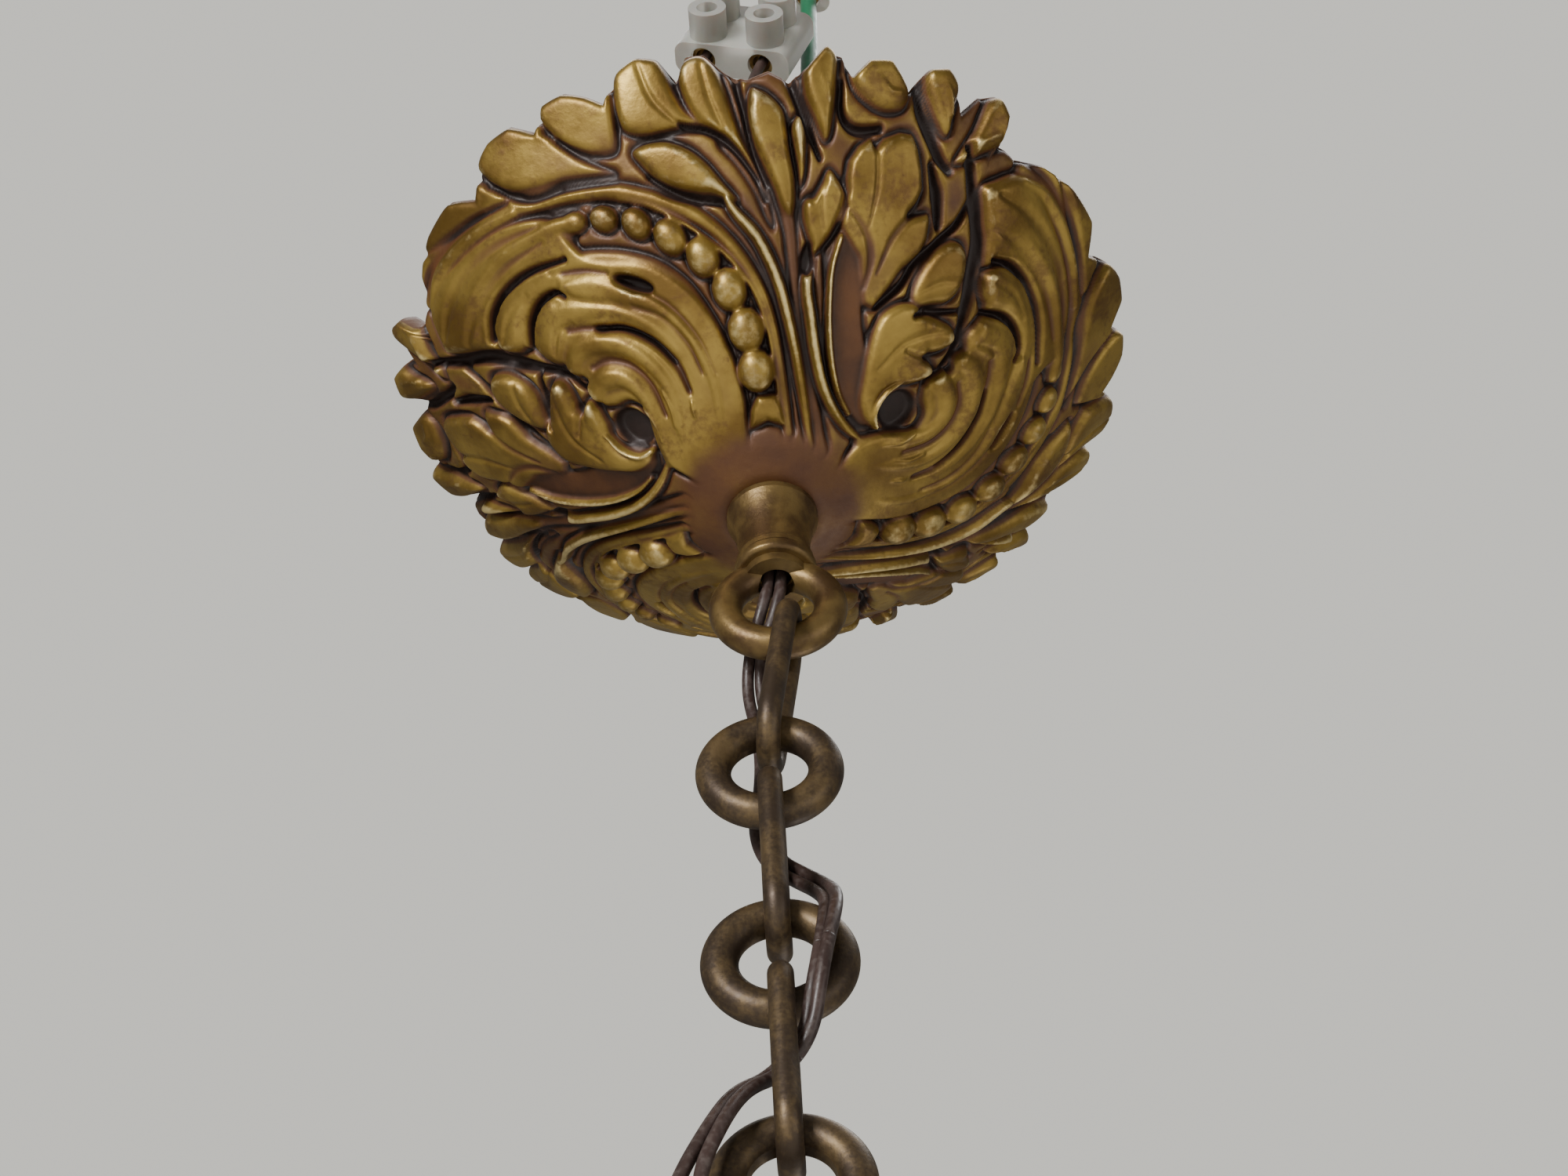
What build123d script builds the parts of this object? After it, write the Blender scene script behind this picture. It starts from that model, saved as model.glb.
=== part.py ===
from build123d import *
import math
import os

os.makedirs("parts", exist_ok=True)

# Ceiling canopy of a hanging light, with the chain and the flex below it.
# Millimetres, +Z up. The origin is the centre of the hanging eye's hole, and
# the side that faces the viewer is -Y.

# Driving dimensions: hanging eye and hollow stem
eye_to_loop = 90.0
eye_ring_radius = 8.6
eye_wire = 5.2
eye_boss = 14.0
eye_boss_height = 15.0
eye_boss_drop = 21.3
eye_wire_hole = 6.6
eye_wire_hole_rise = 1.3
eye_cavity = 3.0
eye_thread_depth = 4.0
mount_land = 0.2
stem_diameter = 8.0
stem_bore = 5.8
thread_gap = 0.05

# Driving dimensions: suspension loop and neck collar
ring_outer = 24.0
ring_wire = 5.8
neck_lip_diameter = 14.6
neck_lip_height = 2.6
neck_lip_above_loop = 8.6
loop_boss = 10.4
loop_boss_height = 7.4
loop_wire_hole = 6.4
collar_height = 14.3
collar_waist = 12.8
collar_flange = 16.4
collar_foot = 13.8
collar_gap = 0.05

# Driving dimensions: canopy casting
canopy_wall = 3.2
canopy_flat_radius = 9.5
canopy_mid_radius = 42.0
canopy_mid_rise = 19.5
canopy_edge_radius = 70.0
canopy_depth = 48.5
canopy_hole_gap = 0.4
lobe_count = 36
lobe_valley_radius = 67.6
lobe_peak_radius = 72.0
rim_margin = 2.0
trim_margin = 10.0
sector_count = 3

# Driving dimensions: relief of one canopy sector, as a plan seen from below
bead_arc_centre = (-22.0, 25.5)
bead_arc_radius = 21.2
bead_first_angle = -12.0
bead_step_angle = 16.5
bead_count = 9
bead_first_size = 6.4
bead_last_size = 3.8
scroll_eye = (-23.8, 14.6)
scroll_eye_size = 9.0
leaf_sink = 0.3
# Each leaf: base x, base y, tip x, tip y and width
leaves = [
    (-1.0, 52.0, -20.0, 63.5, 11.0),
    (-20.0, 55.0, -38.0, 57.5, 8.0),
    (-40.0, 50.0, -58.0, 37.0, 8.0),
    (-14.0, 33.0, -45.0, 24.0, 13.0),
    (11.0, 38.0, 25.0, 56.0, 12.0),
    (18.0, 20.0, 24.0, 35.0, 8.0),
    (35.0, 14.0, 38.0, 31.0, 9.0),
    (44.0, 31.0, 58.0, 39.0, 10.0),
]

# Driving dimensions: clamping and earthing parts inside the canopy
washer_diameter = 18.0
washer_thickness = 1.5
nut_flats = 13.0
nut_height = 4.5
earth_boss_at = (16.5, 5.0)
earth_boss_diameter = 9.0
earth_boss_rise = 8.6
boss_skin = 1.2
screw_diameter = 4.0
screw_end_gap = 0.5
screw_head = 7.5
screw_head_height = 2.6
screw_slot = 1.0
lug_thickness = 0.9
lug_eye_diameter = 9.0
lug_barrel = 5.6
lug_barrel_length = 7.0

# Driving dimensions: chain below the loop
link_wire = 4.0
link_inner_width = 7.6
chain_pitch = 41.0
seat_gap = 0.12
chain_offset = -3.0
first_link_top = 2.0
chain_pairs = 3

# Driving dimensions: flex, earth wire and connectors
flex_diameter = 2.1
flex_spacing = 2.3
earth_wire_diameter = 3.4
block_width = 24.0
block_length = 17.0
block_base = 7.0
block_pole_pitch = 12.0
block_tower = 7.6
block_tower_height = 6.0
block_tower_pitch = 8.4
block_tube_bore = 3.6
block_tube_outer = 5.0
block_tube_gap = 0.1
block_screw = 3.0
block_screw_length = 5.0
block_fillet = 1.2
block_screw_gap = 0.6
block_tube_inset = 1.0
single_width = 9.0
wire_grip = 5.0

# Derived places
loop_z = -eye_to_loop
ring_radius = (ring_outer - ring_wire) / 2
ring_hole = ring_radius - ring_wire / 2
link_bend = (link_inner_width + link_wire) / 2
wire_in_ring = ring_hole - link_wire / 2 - seat_gap
link_span = chain_pitch - 2 * wire_in_ring
lip_z = loop_z + neck_lip_above_loop
collar_z = lip_z + neck_lip_height
canopy_z = collar_z + collar_height
floor_z = canopy_z + canopy_wall
nut_z = floor_z + washer_thickness
eye_boss_z = -eye_boss_drop
stem_top_z = eye_boss_z + eye_thread_depth
stem_bottom_z = lip_z + 0.6


def round_ring(outline_radius, wire):
    """A round ring of round wire, standing in the XZ plane about the origin."""
    with BuildPart() as shape:
        with BuildSketch(Plane.XY):
            with Locations((outline_radius, 0)):
                Circle(wire / 2)
        revolve(axis=Axis.Y)
    return shape.part


# Hanging eye: a ring over a hollow boss with a slanted hole for the cores
with BuildPart() as hanging_eye:
    with BuildSketch(Plane.XY.offset(eye_boss_z)):
        Circle(eye_boss / 2)
    extrude(amount=eye_boss_height)
    chamfer(hanging_eye.edges().group_by(Axis.Z)[-1], 1.2)
    with BuildSketch(Plane.XY):
        with Locations((eye_ring_radius, 0)):
            Circle(eye_wire / 2)
    revolve(axis=Axis.Y)
    with BuildSketch(Plane.XZ):
        Circle(eye_ring_radius - eye_wire / 2 + mount_land)
    extrude(amount=eye_boss, both=True, mode=Mode.SUBTRACT)
    with BuildSketch(Plane.XY.offset(eye_boss_z)):
        Circle(stem_diameter / 2 + thread_gap)
    extrude(amount=eye_thread_depth + thread_gap, mode=Mode.SUBTRACT)
    slant = Plane(origin=(0, 0, stem_top_z + eye_wire_hole_rise), z_dir=(0, -1, 0.6))
    with BuildSketch(slant):
        Circle(eye_wire_hole / 2)
    extrude(amount=eye_boss * 1.5, mode=Mode.SUBTRACT)
    with BuildSketch(Plane.XY.offset(stem_top_z)):
        Circle(eye_wire_hole / 2)
    extrude(amount=eye_cavity, mode=Mode.SUBTRACT)
hanging_eye.part.label = "hanging_eye"
export_step(hanging_eye.part, "parts/hanging_eye.step")

# Hollow threaded stem
with BuildPart() as stem_tube:
    with BuildSketch(Plane.XY.offset(stem_bottom_z)):
        Circle(stem_diameter / 2)
        Circle(stem_bore / 2, mode=Mode.SUBTRACT)
    extrude(amount=stem_top_z - stem_bottom_z)
stem_tube.part.label = "stem_tube"
export_step(stem_tube.part, "parts/stem_tube.step")

# Suspension loop: a thick ring under a turned lip and a tapped boss
with BuildPart() as suspension_loop:
    with Locations((0, 0, loop_z)):
        add(round_ring(ring_radius, ring_wire))
    with BuildSketch(Plane.XY.offset(loop_z + ring_hole + 0.6)):
        Circle(neck_lip_diameter / 2 - 1.6)
    extrude(amount=lip_z - loop_z - ring_hole)
    with BuildSketch(Plane.XY.offset(lip_z)):
        Circle(neck_lip_diameter / 2)
    extrude(amount=neck_lip_height)
    with BuildSketch(Plane.XY.offset(collar_z)):
        Circle(loop_boss / 2)
    extrude(amount=loop_boss_height)
    with BuildSketch(Plane.XY.offset(loop_z + ring_hole - ring_wire / 2)):
        Circle(loop_wire_hole / 2)
    extrude(amount=ring_wire + neck_lip_height, mode=Mode.SUBTRACT)
    with BuildSketch(Plane.XY.offset(stem_bottom_z - thread_gap)):
        Circle(stem_diameter / 2 + thread_gap)
    extrude(amount=eye_to_loop, mode=Mode.SUBTRACT)
    lip_edges = suspension_loop.edges().filter_by(GeomType.CIRCLE)
    lip_edges = lip_edges.filter_by(lambda e: abs(e.radius - neck_lip_diameter / 2) < 0.01)
    fillet(lip_edges, neck_lip_height * 0.35)
suspension_loop.part.label = "suspension_loop"
export_step(suspension_loop.part, "parts/suspension_loop.step")

# Neck collar: a turned spool that flares to the canopy
with BuildPart() as neck_collar:
    with BuildSketch(Plane.XZ):
        with BuildLine():
            foot = Line((0, collar_z), (collar_foot / 2, collar_z))
            bead = Line(foot @ 1, (collar_foot / 2, collar_z + 1.2))
            flare_start = (collar_waist / 2, collar_z + 2.0)
            step = Line(bead @ 1, flare_start)
            flare_end = (collar_flange / 2, canopy_z - 1.2)
            flare = ThreePointArc(
                flare_start,
                (collar_waist / 2 + 0.2, collar_z + collar_height * 0.52),
                flare_end,
            )
            rim = Line(flare @ 1, (collar_flange / 2, canopy_z))
            top = Line(rim @ 1, (0, canopy_z))
            Line(top @ 1, foot @ 0)
        make_face()
    revolve(axis=Axis.Z)
    with BuildSketch(Plane.XY.offset(collar_z)):
        Circle(loop_boss / 2 + collar_gap)
    extrude(amount=loop_boss_height + collar_gap, mode=Mode.SUBTRACT)
    with BuildSketch(Plane.XY.offset(collar_z)):
        Circle(stem_diameter / 2 + thread_gap)
    extrude(amount=collar_height, mode=Mode.SUBTRACT)
neck_collar.part.label = "neck_collar"
export_step(neck_collar.part, "parts/neck_collar.step")


# Canopy: a bowl with a lobed rim, beads, scroll eyes and leaves in relief
edge_z = canopy_z + canopy_depth
mid_slope = math.atan2(canopy_depth, canopy_edge_radius - canopy_flat_radius)
edge_slope = mid_slope + math.radians(12)
outer_start = (canopy_flat_radius, canopy_z)
outer_mid = (canopy_mid_radius, canopy_z + canopy_mid_rise)
trim_radius = lobe_peak_radius + rim_margin
outer_end = (trim_radius, edge_z + (trim_radius - canopy_edge_radius) * math.tan(edge_slope))
bowl_arc = ThreePointArc(
    (canopy_flat_radius, canopy_z, 0),
    (*outer_mid, 0),
    (*outer_end, 0),
)
arc_centre = bowl_arc.arc_center
arc_radius = bowl_arc.radius


def bowl_section(radius, depth):
    """Radius and height of a point in the wall, at a depth under the bowl's outer arc."""
    z = arc_centre.Y - math.sqrt(arc_radius**2 - (radius - arc_centre.X) ** 2)
    lean = (radius - arc_centre.X) / arc_radius
    drop = (z - arc_centre.Y) / arc_radius
    return radius - lean * depth, z - drop * depth


def bowl_place(x, y):
    """The outer surface under a point of the plan seen from below: place and outward normal."""
    radius = max(math.hypot(x, y), 0.001)
    z = bowl_section(radius, 0)[1]
    lean = (radius - arc_centre.X) / arc_radius
    drop = (z - arc_centre.Y) / arc_radius
    normal = Vector(lean * x / radius, -lean * y / radius, drop)
    return Vector(x, -y, z), normal


def leaf(base_x, base_y, tip_x, tip_y, width):
    """A pointed lobe: a circular segment turned about its own chord."""
    start, start_normal = bowl_place(base_x, base_y)
    end, end_normal = bowl_place(tip_x, tip_y)
    start = start - start_normal * leaf_sink
    end = end - end_normal * leaf_sink
    axis = end - start
    length = axis.length
    plane = Plane(origin=start, x_dir=axis.normalized(), z_dir=axis.cross(start_normal).normalized())
    with BuildPart() as shape:
        with BuildSketch(plane):
            with BuildLine():
                ThreePointArc((0, 0), (length / 2, width / 2), (length, 0))
                Line((length, 0), (0, 0))
            make_face()
        revolve(axis=Axis(start, axis))
    return shape.part


relief = []
for number in range(bead_count):
    share = number / (bead_count - 1)
    size = bead_first_size + (bead_last_size - bead_first_size) * share
    angle = math.radians(bead_first_angle + bead_step_angle * number)
    place, normal = bowl_place(
        bead_arc_centre[0] + bead_arc_radius * math.cos(angle),
        bead_arc_centre[1] + bead_arc_radius * math.sin(angle),
    )
    relief.append(Location(place + normal * 0.6) * Sphere(size / 2))
eye_place, eye_normal = bowl_place(*scroll_eye)
relief.append(Location(eye_place - eye_normal * 1.5) * Sphere(scroll_eye_size / 2))
for entry in leaves:
    relief.append(leaf(*entry))

# The earth boss stands on the sloping floor and ends in the middle of the wall
boss_top = floor_z + earth_boss_rise
boss_hole_reach = math.hypot(*earth_boss_at) + screw_diameter / 2
boss_hole_z = bowl_section(boss_hole_reach, 0)[1] + boss_skin
wall_middle = canopy_wall / 2
with BuildPart() as earth_boss:
    with BuildSketch(Plane.XY.offset(canopy_z)):
        with Locations(earth_boss_at):
            Circle(earth_boss_diameter / 2)
    extrude(amount=boss_top - canopy_z)
    with BuildSketch(Plane.XZ):
        with BuildLine():
            under_end = bowl_section(canopy_edge_radius, wall_middle)
            under = ThreePointArc(
                bowl_section(canopy_flat_radius, wall_middle),
                bowl_section(canopy_mid_radius, wall_middle),
                under_end,
            )
            down = Line(under_end, (under_end[0], canopy_z - trim_margin))
            across = Line(down @ 1, (0, canopy_z - trim_margin))
            up = Line(across @ 1, (0, (under @ 0).Y))
            Line(up @ 1, under @ 0)
        make_face()
    revolve(axis=Axis.Z, mode=Mode.SUBTRACT)

with BuildPart() as canopy:
    with BuildSketch(Plane.XZ):
        with BuildLine():
            flat = Line((0, canopy_z), outer_start)
            outside = ThreePointArc(outer_start, outer_mid, outer_end)
            wall_out = canopy_wall * math.sin(edge_slope)
            wall_up = canopy_wall * math.cos(edge_slope)
            inner_end = (outer_end[0] - wall_out, outer_end[1] + wall_up)
            lip = Line(outside @ 1, inner_end)
            mid_out = canopy_wall * math.sin(mid_slope)
            mid_up = canopy_wall * math.cos(mid_slope)
            inner_mid = (outer_mid[0] - mid_out, outer_mid[1] + mid_up)
            inside = ThreePointArc(lip @ 1, inner_mid, (canopy_flat_radius, floor_z))
            ceiling = Line(inside @ 1, (0, floor_z))
            Line(ceiling @ 1, flat @ 0)
        make_face()
    revolve(axis=Axis.Z)
    sector = 360 / sector_count
    for turn in range(sector_count):
        with Locations(Location((0, 0, 0), (0, 0, sector * turn))):
            add(relief)
    # The inside is cut clean again, so the relief shows on the outside only
    with BuildSketch(Plane.XZ):
        with BuildLine():
            low = Line((0, floor_z), (canopy_flat_radius, floor_z))
            hollow = ThreePointArc(low @ 1, inner_mid, inner_end)
            side = Line(hollow @ 1, (inner_end[0], inner_end[1] + trim_margin))
            cap = Line(side @ 1, (0, inner_end[1] + trim_margin))
            Line(cap @ 1, low @ 0)
        make_face()
    revolve(axis=Axis.Z, mode=Mode.SUBTRACT)
    # The rim's outline: a ring of lobes
    with BuildSketch(Plane.XY.offset(canopy_z - trim_margin)):
        with BuildLine():
            for number in range(lobe_count):
                start_angle = 360 / lobe_count * number
                half = 180 / lobe_count
                ThreePointArc(
                    Vector(lobe_valley_radius, 0).rotate(Axis.Z, start_angle),
                    Vector(lobe_peak_radius, 0).rotate(Axis.Z, start_angle + half),
                    Vector(lobe_valley_radius, 0).rotate(Axis.Z, start_angle + 2 * half),
                )
        make_face()
    extrude(amount=inner_end[1] - canopy_z + 2 * trim_margin, mode=Mode.INTERSECT)
    # The earth boss is tapped for its screw
    add(earth_boss.part)
    with BuildSketch(Plane.XY.offset(boss_top)):
        with Locations(earth_boss_at):
            Circle(screw_diameter / 2 + thread_gap)
    extrude(amount=boss_hole_z - boss_top, mode=Mode.SUBTRACT)
    Hole(stem_diameter / 2 + canopy_hole_gap)
canopy.part.label = "canopy"
export_step(canopy.part, "parts/canopy.step")

# Clamp washer and clamp nut on the canopy floor
with BuildPart() as clamp_washer:
    with BuildSketch(Plane.XY.offset(floor_z)):
        Circle(washer_diameter / 2)
        Circle(stem_diameter / 2 + canopy_hole_gap, mode=Mode.SUBTRACT)
    extrude(amount=washer_thickness)
clamp_washer.part.label = "clamp_washer"
export_step(clamp_washer.part, "parts/clamp_washer.step")

with BuildPart() as clamp_nut:
    with BuildSketch(Plane.XY.offset(nut_z)):
        RegularPolygon(nut_flats / 2, 6, major_radius=False)
        Circle(stem_diameter / 2 + thread_gap, mode=Mode.SUBTRACT)
    extrude(amount=nut_height)
clamp_nut.part.label = "clamp_nut"
export_step(clamp_nut.part, "parts/clamp_nut.step")

# Earth lug: a flat eye with a crimped barrel that points up and to the viewer
lug_top = boss_top + lug_thickness
lug_rise = 55.0
barrel_turn = Vector(0, -math.cos(math.radians(lug_rise)), math.sin(math.radians(lug_rise)))
barrel_start = Vector(earth_boss_at[0], earth_boss_at[1] - lug_eye_diameter / 2 - 2.4, boss_top + 1.0)
with BuildPart() as earth_lug:
    with BuildSketch(Plane.XY.offset(boss_top)):
        with Locations(earth_boss_at):
            Circle(lug_eye_diameter / 2)
        with Locations((earth_boss_at[0], earth_boss_at[1] - lug_eye_diameter / 2)):
            Rectangle(4.0, 6.0)
        with Locations(earth_boss_at):
            Circle(screw_diameter / 2 + thread_gap, mode=Mode.SUBTRACT)
    extrude(amount=lug_thickness)
    with BuildSketch(Plane(origin=barrel_start, z_dir=barrel_turn)):
        Circle(lug_barrel / 2)
    extrude(amount=lug_barrel_length)
    with BuildSketch(Plane(origin=barrel_start + barrel_turn * 1.5, z_dir=barrel_turn)):
        Circle(earth_wire_diameter / 2 + thread_gap)
    extrude(amount=lug_barrel_length, mode=Mode.SUBTRACT)
earth_lug.part.label = "earth_lug"
export_step(earth_lug.part, "parts/earth_lug.step")

with BuildPart() as earth_screw:
    with BuildSketch(Plane.XY.offset(lug_top)):
        with Locations(earth_boss_at):
            Circle(screw_diameter / 2)
    extrude(amount=boss_hole_z + screw_end_gap - lug_top)
    with BuildSketch(Plane.XY.offset(lug_top)):
        with Locations(earth_boss_at):
            Circle(screw_head / 2)
    extrude(amount=screw_head_height)
    with BuildSketch(Plane.XY.offset(lug_top + screw_head_height)):
        with Locations(earth_boss_at):
            Rectangle(screw_head + 1, screw_slot)
    extrude(amount=-screw_head_height * 0.45, mode=Mode.SUBTRACT)
earth_screw.part.label = "earth_screw"
export_step(earth_screw.part, "parts/earth_screw.step")


def link_shape(top, bottom):
    """A long link of round wire standing edge on, between its two bend apexes."""
    axis = bottom - top
    span = axis.length
    plane = Plane(origin=top, x_dir=(0, 1, 0), z_dir=axis.cross(Vector(0, 1, 0)))
    with BuildPart() as shape:
        with BuildLine(plane) as path:
            down = 1 if plane.y_dir.dot(axis) > 0 else -1
            near = (-link_bend, down * link_bend)
            far = (-link_bend, down * (span - link_bend))
            left = Line(near, far)
            lower = ThreePointArc(left @ 1, (0, down * span), (link_bend, far[1]))
            right = Line(lower @ 1, (link_bend, near[1]))
            ThreePointArc(right @ 1, (0, 0), left @ 0)
        with BuildSketch(Plane(origin=path.line @ 0, z_dir=path.line % 0)):
            Circle(link_wire / 2)
        sweep(path=path.line)
    return shape.part


# Chain: long links and round rings by turns. Pivots are printed as they fall.
drop = chain_offset - first_link_top
first_fall = math.sqrt(wire_in_ring**2 - first_link_top**2)
link_top = Vector(first_link_top, 0, loop_z - first_fall)
link_fall = math.sqrt(link_span**2 - drop**2)
link_bottom = Vector(chain_offset, 0, link_top.Z - link_fall)
ring_places = []
for pair in range(1, chain_pairs + 1):
    with BuildPart() as link:
        add(link_shape(link_top, link_bottom))
    link.part.label = f"link_{pair}"
    export_step(link.part, f"parts/link_{pair}.step")
    toward_ring = Vector(link_top.X, 0, link_top.Z) - (
        ring_places[-1] if ring_places else Vector(0, 0, loop_z)
    )
    tube = toward_ring.normalized() * ring_radius + (
        ring_places[-1] if ring_places else Vector(0, 0, loop_z)
    )
    print(f"link_{pair} turns about X at", [round(c, 3) for c in tube])
    ring_place = link_bottom - Vector(0, 0, wire_in_ring)
    with BuildPart() as ring:
        with Locations(ring_place):
            add(round_ring(ring_radius, ring_wire))
        if pair == chain_pairs:
            with BuildSketch(Plane(origin=ring_place, z_dir=(0, -1, 0))):
                Circle(ring_hole + mount_land)
            extrude(amount=ring_wire, both=True, mode=Mode.SUBTRACT)
    ring.part.label = f"ring_{pair + 1}"
    export_step(ring.part, f"parts/ring_{pair + 1}.step")
    print(f"ring_{pair + 1} turns about Y at", [round(c, 3) for c in link_bottom])
    ring_places.append(ring_place)
    link_top = ring_place - Vector(0, 0, wire_in_ring)
    link_bottom = link_top - Vector(0, 0, link_span)


def tube_radii(points):
    """The largest arcs that the runs beside each corner allow."""
    radii = []
    for before, corner, after in zip(points, points[1:], points[2:]):
        run_in = corner - before
        run_out = after - corner
        half_turn = math.radians(run_in.get_angle(run_out) / 2)
        radii.append(0.45 * min(run_in.length, run_out.length) / math.tan(half_turn))
    return radii


def tube(name, points, diameter, radii):
    """A round cord along straight runs joined by tangent arcs."""
    with BuildPart() as cord:
        with BuildLine() as path:
            if len(points) == 2:
                Line(*points)
            else:
                FilletPolyline(*points, radius=radii)
        route = path.wire()
        with BuildSketch(Plane(origin=route @ 0, z_dir=route % 0)):
            Circle(diameter / 2)
        sweep(path=route)
    cord.part.label = name
    export_step(cord.part, f"parts/{name}.step")
    section = math.pi * diameter**2 / 4
    share = cord.part.volume / (section * route.length)
    rounded = [round(r, 1) for r in radii]
    print(name, "length", round(route.length, 1), "volume share", round(share, 4), "radii", rounded)


# Flex: the middle of the two cores, and the way from it to one core.
# Heights are above the loop's centre.
flex_route = [
    (-0.9, -35.3, 131.8, 4.9, 0.0, -1.78),
    (-4.7, -35.2, 121.4, 4.9, 0.0, -1.78),
    (-3.8, -32.2, 108.6, 2.6, 0.0, -0.5),
    (-1.2, -25.8, 97.4, 1.2, 0.0, 0.0),
    (0.2, -18.0, 88.0, 1.0, 0.0, 0.0),
    (0.1, -9.2, 80.0, 1.0, 0.0, 0.0),
    (0.0, 0.0, 74.6, 1.0, 0.0, 0.0),
    (0.1, 0.1, 58.0, 1.0, 0.0, 0.0),
    (-0.1, 0.0, 41.0, 1.0, 0.0, 0.0),
    (0.1, 0.1, 24.5, 1.0, 0.0, 0.0),
    (0.0, 0.0, 8.0, 1.0, 0.0, 0.0),
    (-1.7, 1.6, 1.4, 1.0, 0.0, -0.2),
    (-4.4, 6.6, -3.4, 0.8, 0.0, -0.6),
    (-5.2, 10.4, -9.6, 1.0, 0.0, -0.1),
    (-3.9, 10.9, -18.0, 1.0, 0.0, 0.1),
    (-3.3, 10.0, -27.0, 1.0, 0.1, 0.0),
    (-3.9, 9.6, -36.0, 1.0, 0.0, 0.0),
    (-5.4, 9.4, -44.5, 1.0, 0.0, 0.0),
    (-4.0, 10.4, -52.5, 0.9, 0.0, 0.4),
    (0.6, 10.2, -59.0, 0.8, 0.0, 0.6),
    (4.4, 5.6, -63.6, 0.8, 0.1, 0.5),
    (5.6, -1.6, -68.0, 0.7, -0.5, 0.4),
    (4.6, -6.4, -75.0, 0.8, -0.6, 0.1),
    (3.4, -7.6, -83.5, 0.6, -0.8, 0.0),
    (2.2, -7.2, -91.5, 0.6, -0.8, 0.0),
    (0.6, -3.4, -98.4, 0.41, -0.67, -0.62),
    (-4.6, -0.4, -103.0, 0.56, -0.67, -0.49),
    (-9.4, -4.6, -108.4, 0.82, -0.53, -0.19),
    (-12.6, -8.0, -116.0, 0.82, -0.53, -0.19),
    (-17.0, -9.6, -127.0, 1.1, -0.2, -0.2),
    (-17.8, -9.8, -137.0, 3.0, 0.0, 0.2),
    (-16.4, -9.6, -147.0, 3.48, 0.0, 0.0),
]
# The cores are cut where they cross a pivot, after these points of the route
flex_cuts = {"top": 5, "neck": 13, "link_1": 16, "ring_2": 17, "link_2": 22, "ring_3": 24, "link_3": 26}
flex_cuts["tail"] = len(flex_route) - 1

for core, side in (("a", 0.5), ("b", -0.5)):
    away = side * flex_spacing
    whole = [
        Vector(x + away * dx, y + away * dy, loop_z + z + away * dz)
        for x, y, z, dx, dy, dz in flex_route
    ]
    whole_radii = tube_radii(whole)
    begin = 0
    start = whole[0]
    for span_name, last in flex_cuts.items():
        finish = whole[last] if last == len(whole) - 1 else (whole[last] + whole[last + 1]) / 2
        stop = last if last == len(whole) - 1 else last + 1
        corners = whole[begin + 1 : stop]
        arcs = whole_radii[begin : stop - 1]
        tube(f"flex_{core}_{span_name}", [start, *corners, finish], flex_diameter, arcs)
        begin = last
        start = finish

# Earth wire: from the lug's barrel up past the terminal block
barrel_end = barrel_start + barrel_turn * 2.0
earth_route = [
    barrel_end,
    barrel_start + barrel_turn * 13.0,
    Vector(15.6, -16.0, loop_z + 62.0),
    Vector(14.2, -22.5, loop_z + 82.0),
    Vector(13.2, -26.4, loop_z + 104.0),
    Vector(12.8, -28.0, loop_z + 128.0),
    Vector(14.2, -28.8, loop_z + 150.0),
    Vector(14.9, -28.6, loop_z + 171.0),
]
tube("earth_wire", earth_route, earth_wire_diameter, tube_radii(earth_route))


def connector(prefix, plane, pole_count, pole_pitch, width, length):
    """A screw connector strip: soft body, brass tubes and clamping screws. Wires enter along local Z."""
    spots = [((number - (pole_count - 1) / 2) * pole_pitch, 0) for number in range(pole_count)]
    front = Plane(origin=plane.origin, x_dir=plane.x_dir, z_dir=-plane.y_dir)
    towers = [(x, side * block_tower_pitch / 2) for x, _ in spots for side in (-1, 1)]
    base = plane.offset(-length / 2)
    with BuildPart() as body:
        with BuildSketch(base):
            RectangleRounded(width, block_base, block_fillet * 2)
        extrude(amount=length)
        with BuildSketch(front):
            with Locations(*towers):
                Circle(block_tower / 2)
        extrude(amount=block_base / 2 + block_tower_height)
        with BuildSketch(base):
            with Locations(*spots):
                Circle(block_tube_outer / 2 + block_tube_gap)
        extrude(amount=length, mode=Mode.SUBTRACT)
        with BuildSketch(front):
            with Locations(*towers):
                Circle(block_screw / 2 + block_screw_gap)
        extrude(amount=block_base / 2 + block_tower_height, mode=Mode.SUBTRACT)
    body.part.label = f"{prefix}_body"
    export_step(body.part, f"parts/{prefix}_body.step")
    with BuildPart() as tubes:
        with BuildSketch(base.offset(block_tube_inset)):
            with Locations(*spots):
                Circle(block_tube_outer / 2)
                Circle(block_tube_bore / 2, mode=Mode.SUBTRACT)
        extrude(amount=length - 2 * block_tube_inset)
        with BuildSketch(front):
            with Locations(*towers):
                Circle(block_screw / 2 + thread_gap)
        extrude(amount=block_base, mode=Mode.SUBTRACT)
    tubes.part.label = f"{prefix}_tubes"
    export_step(tubes.part, f"parts/{prefix}_tubes.step")
    with BuildPart() as screws:
        with BuildSketch(front.offset(block_tube_bore / 2)):
            with Locations(*towers):
                Circle(block_screw / 2)
        extrude(amount=block_screw_length)
        with BuildSketch(front.offset(block_tube_bore / 2 + block_screw_length)):
            with Locations(*towers):
                Rectangle(block_screw + 1, block_screw / 5)
        extrude(amount=-block_screw / 4, mode=Mode.SUBTRACT)
    screws.part.label = f"{prefix}_screws"
    export_step(screws.part, f"parts/{prefix}_screws.step")


# Terminal block over the canopy, tipped as it hangs on the cores
block_tip = math.radians(20)
block_plane = Plane(
    origin=(0.6, -35.3, loop_z + 136.0),
    x_dir=(math.cos(block_tip), 0, -math.sin(block_tip)),
    z_dir=(math.sin(block_tip), 0, math.cos(block_tip)),
)
connector("terminal_block", block_plane, 2, block_pole_pitch, block_width, block_length)

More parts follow.
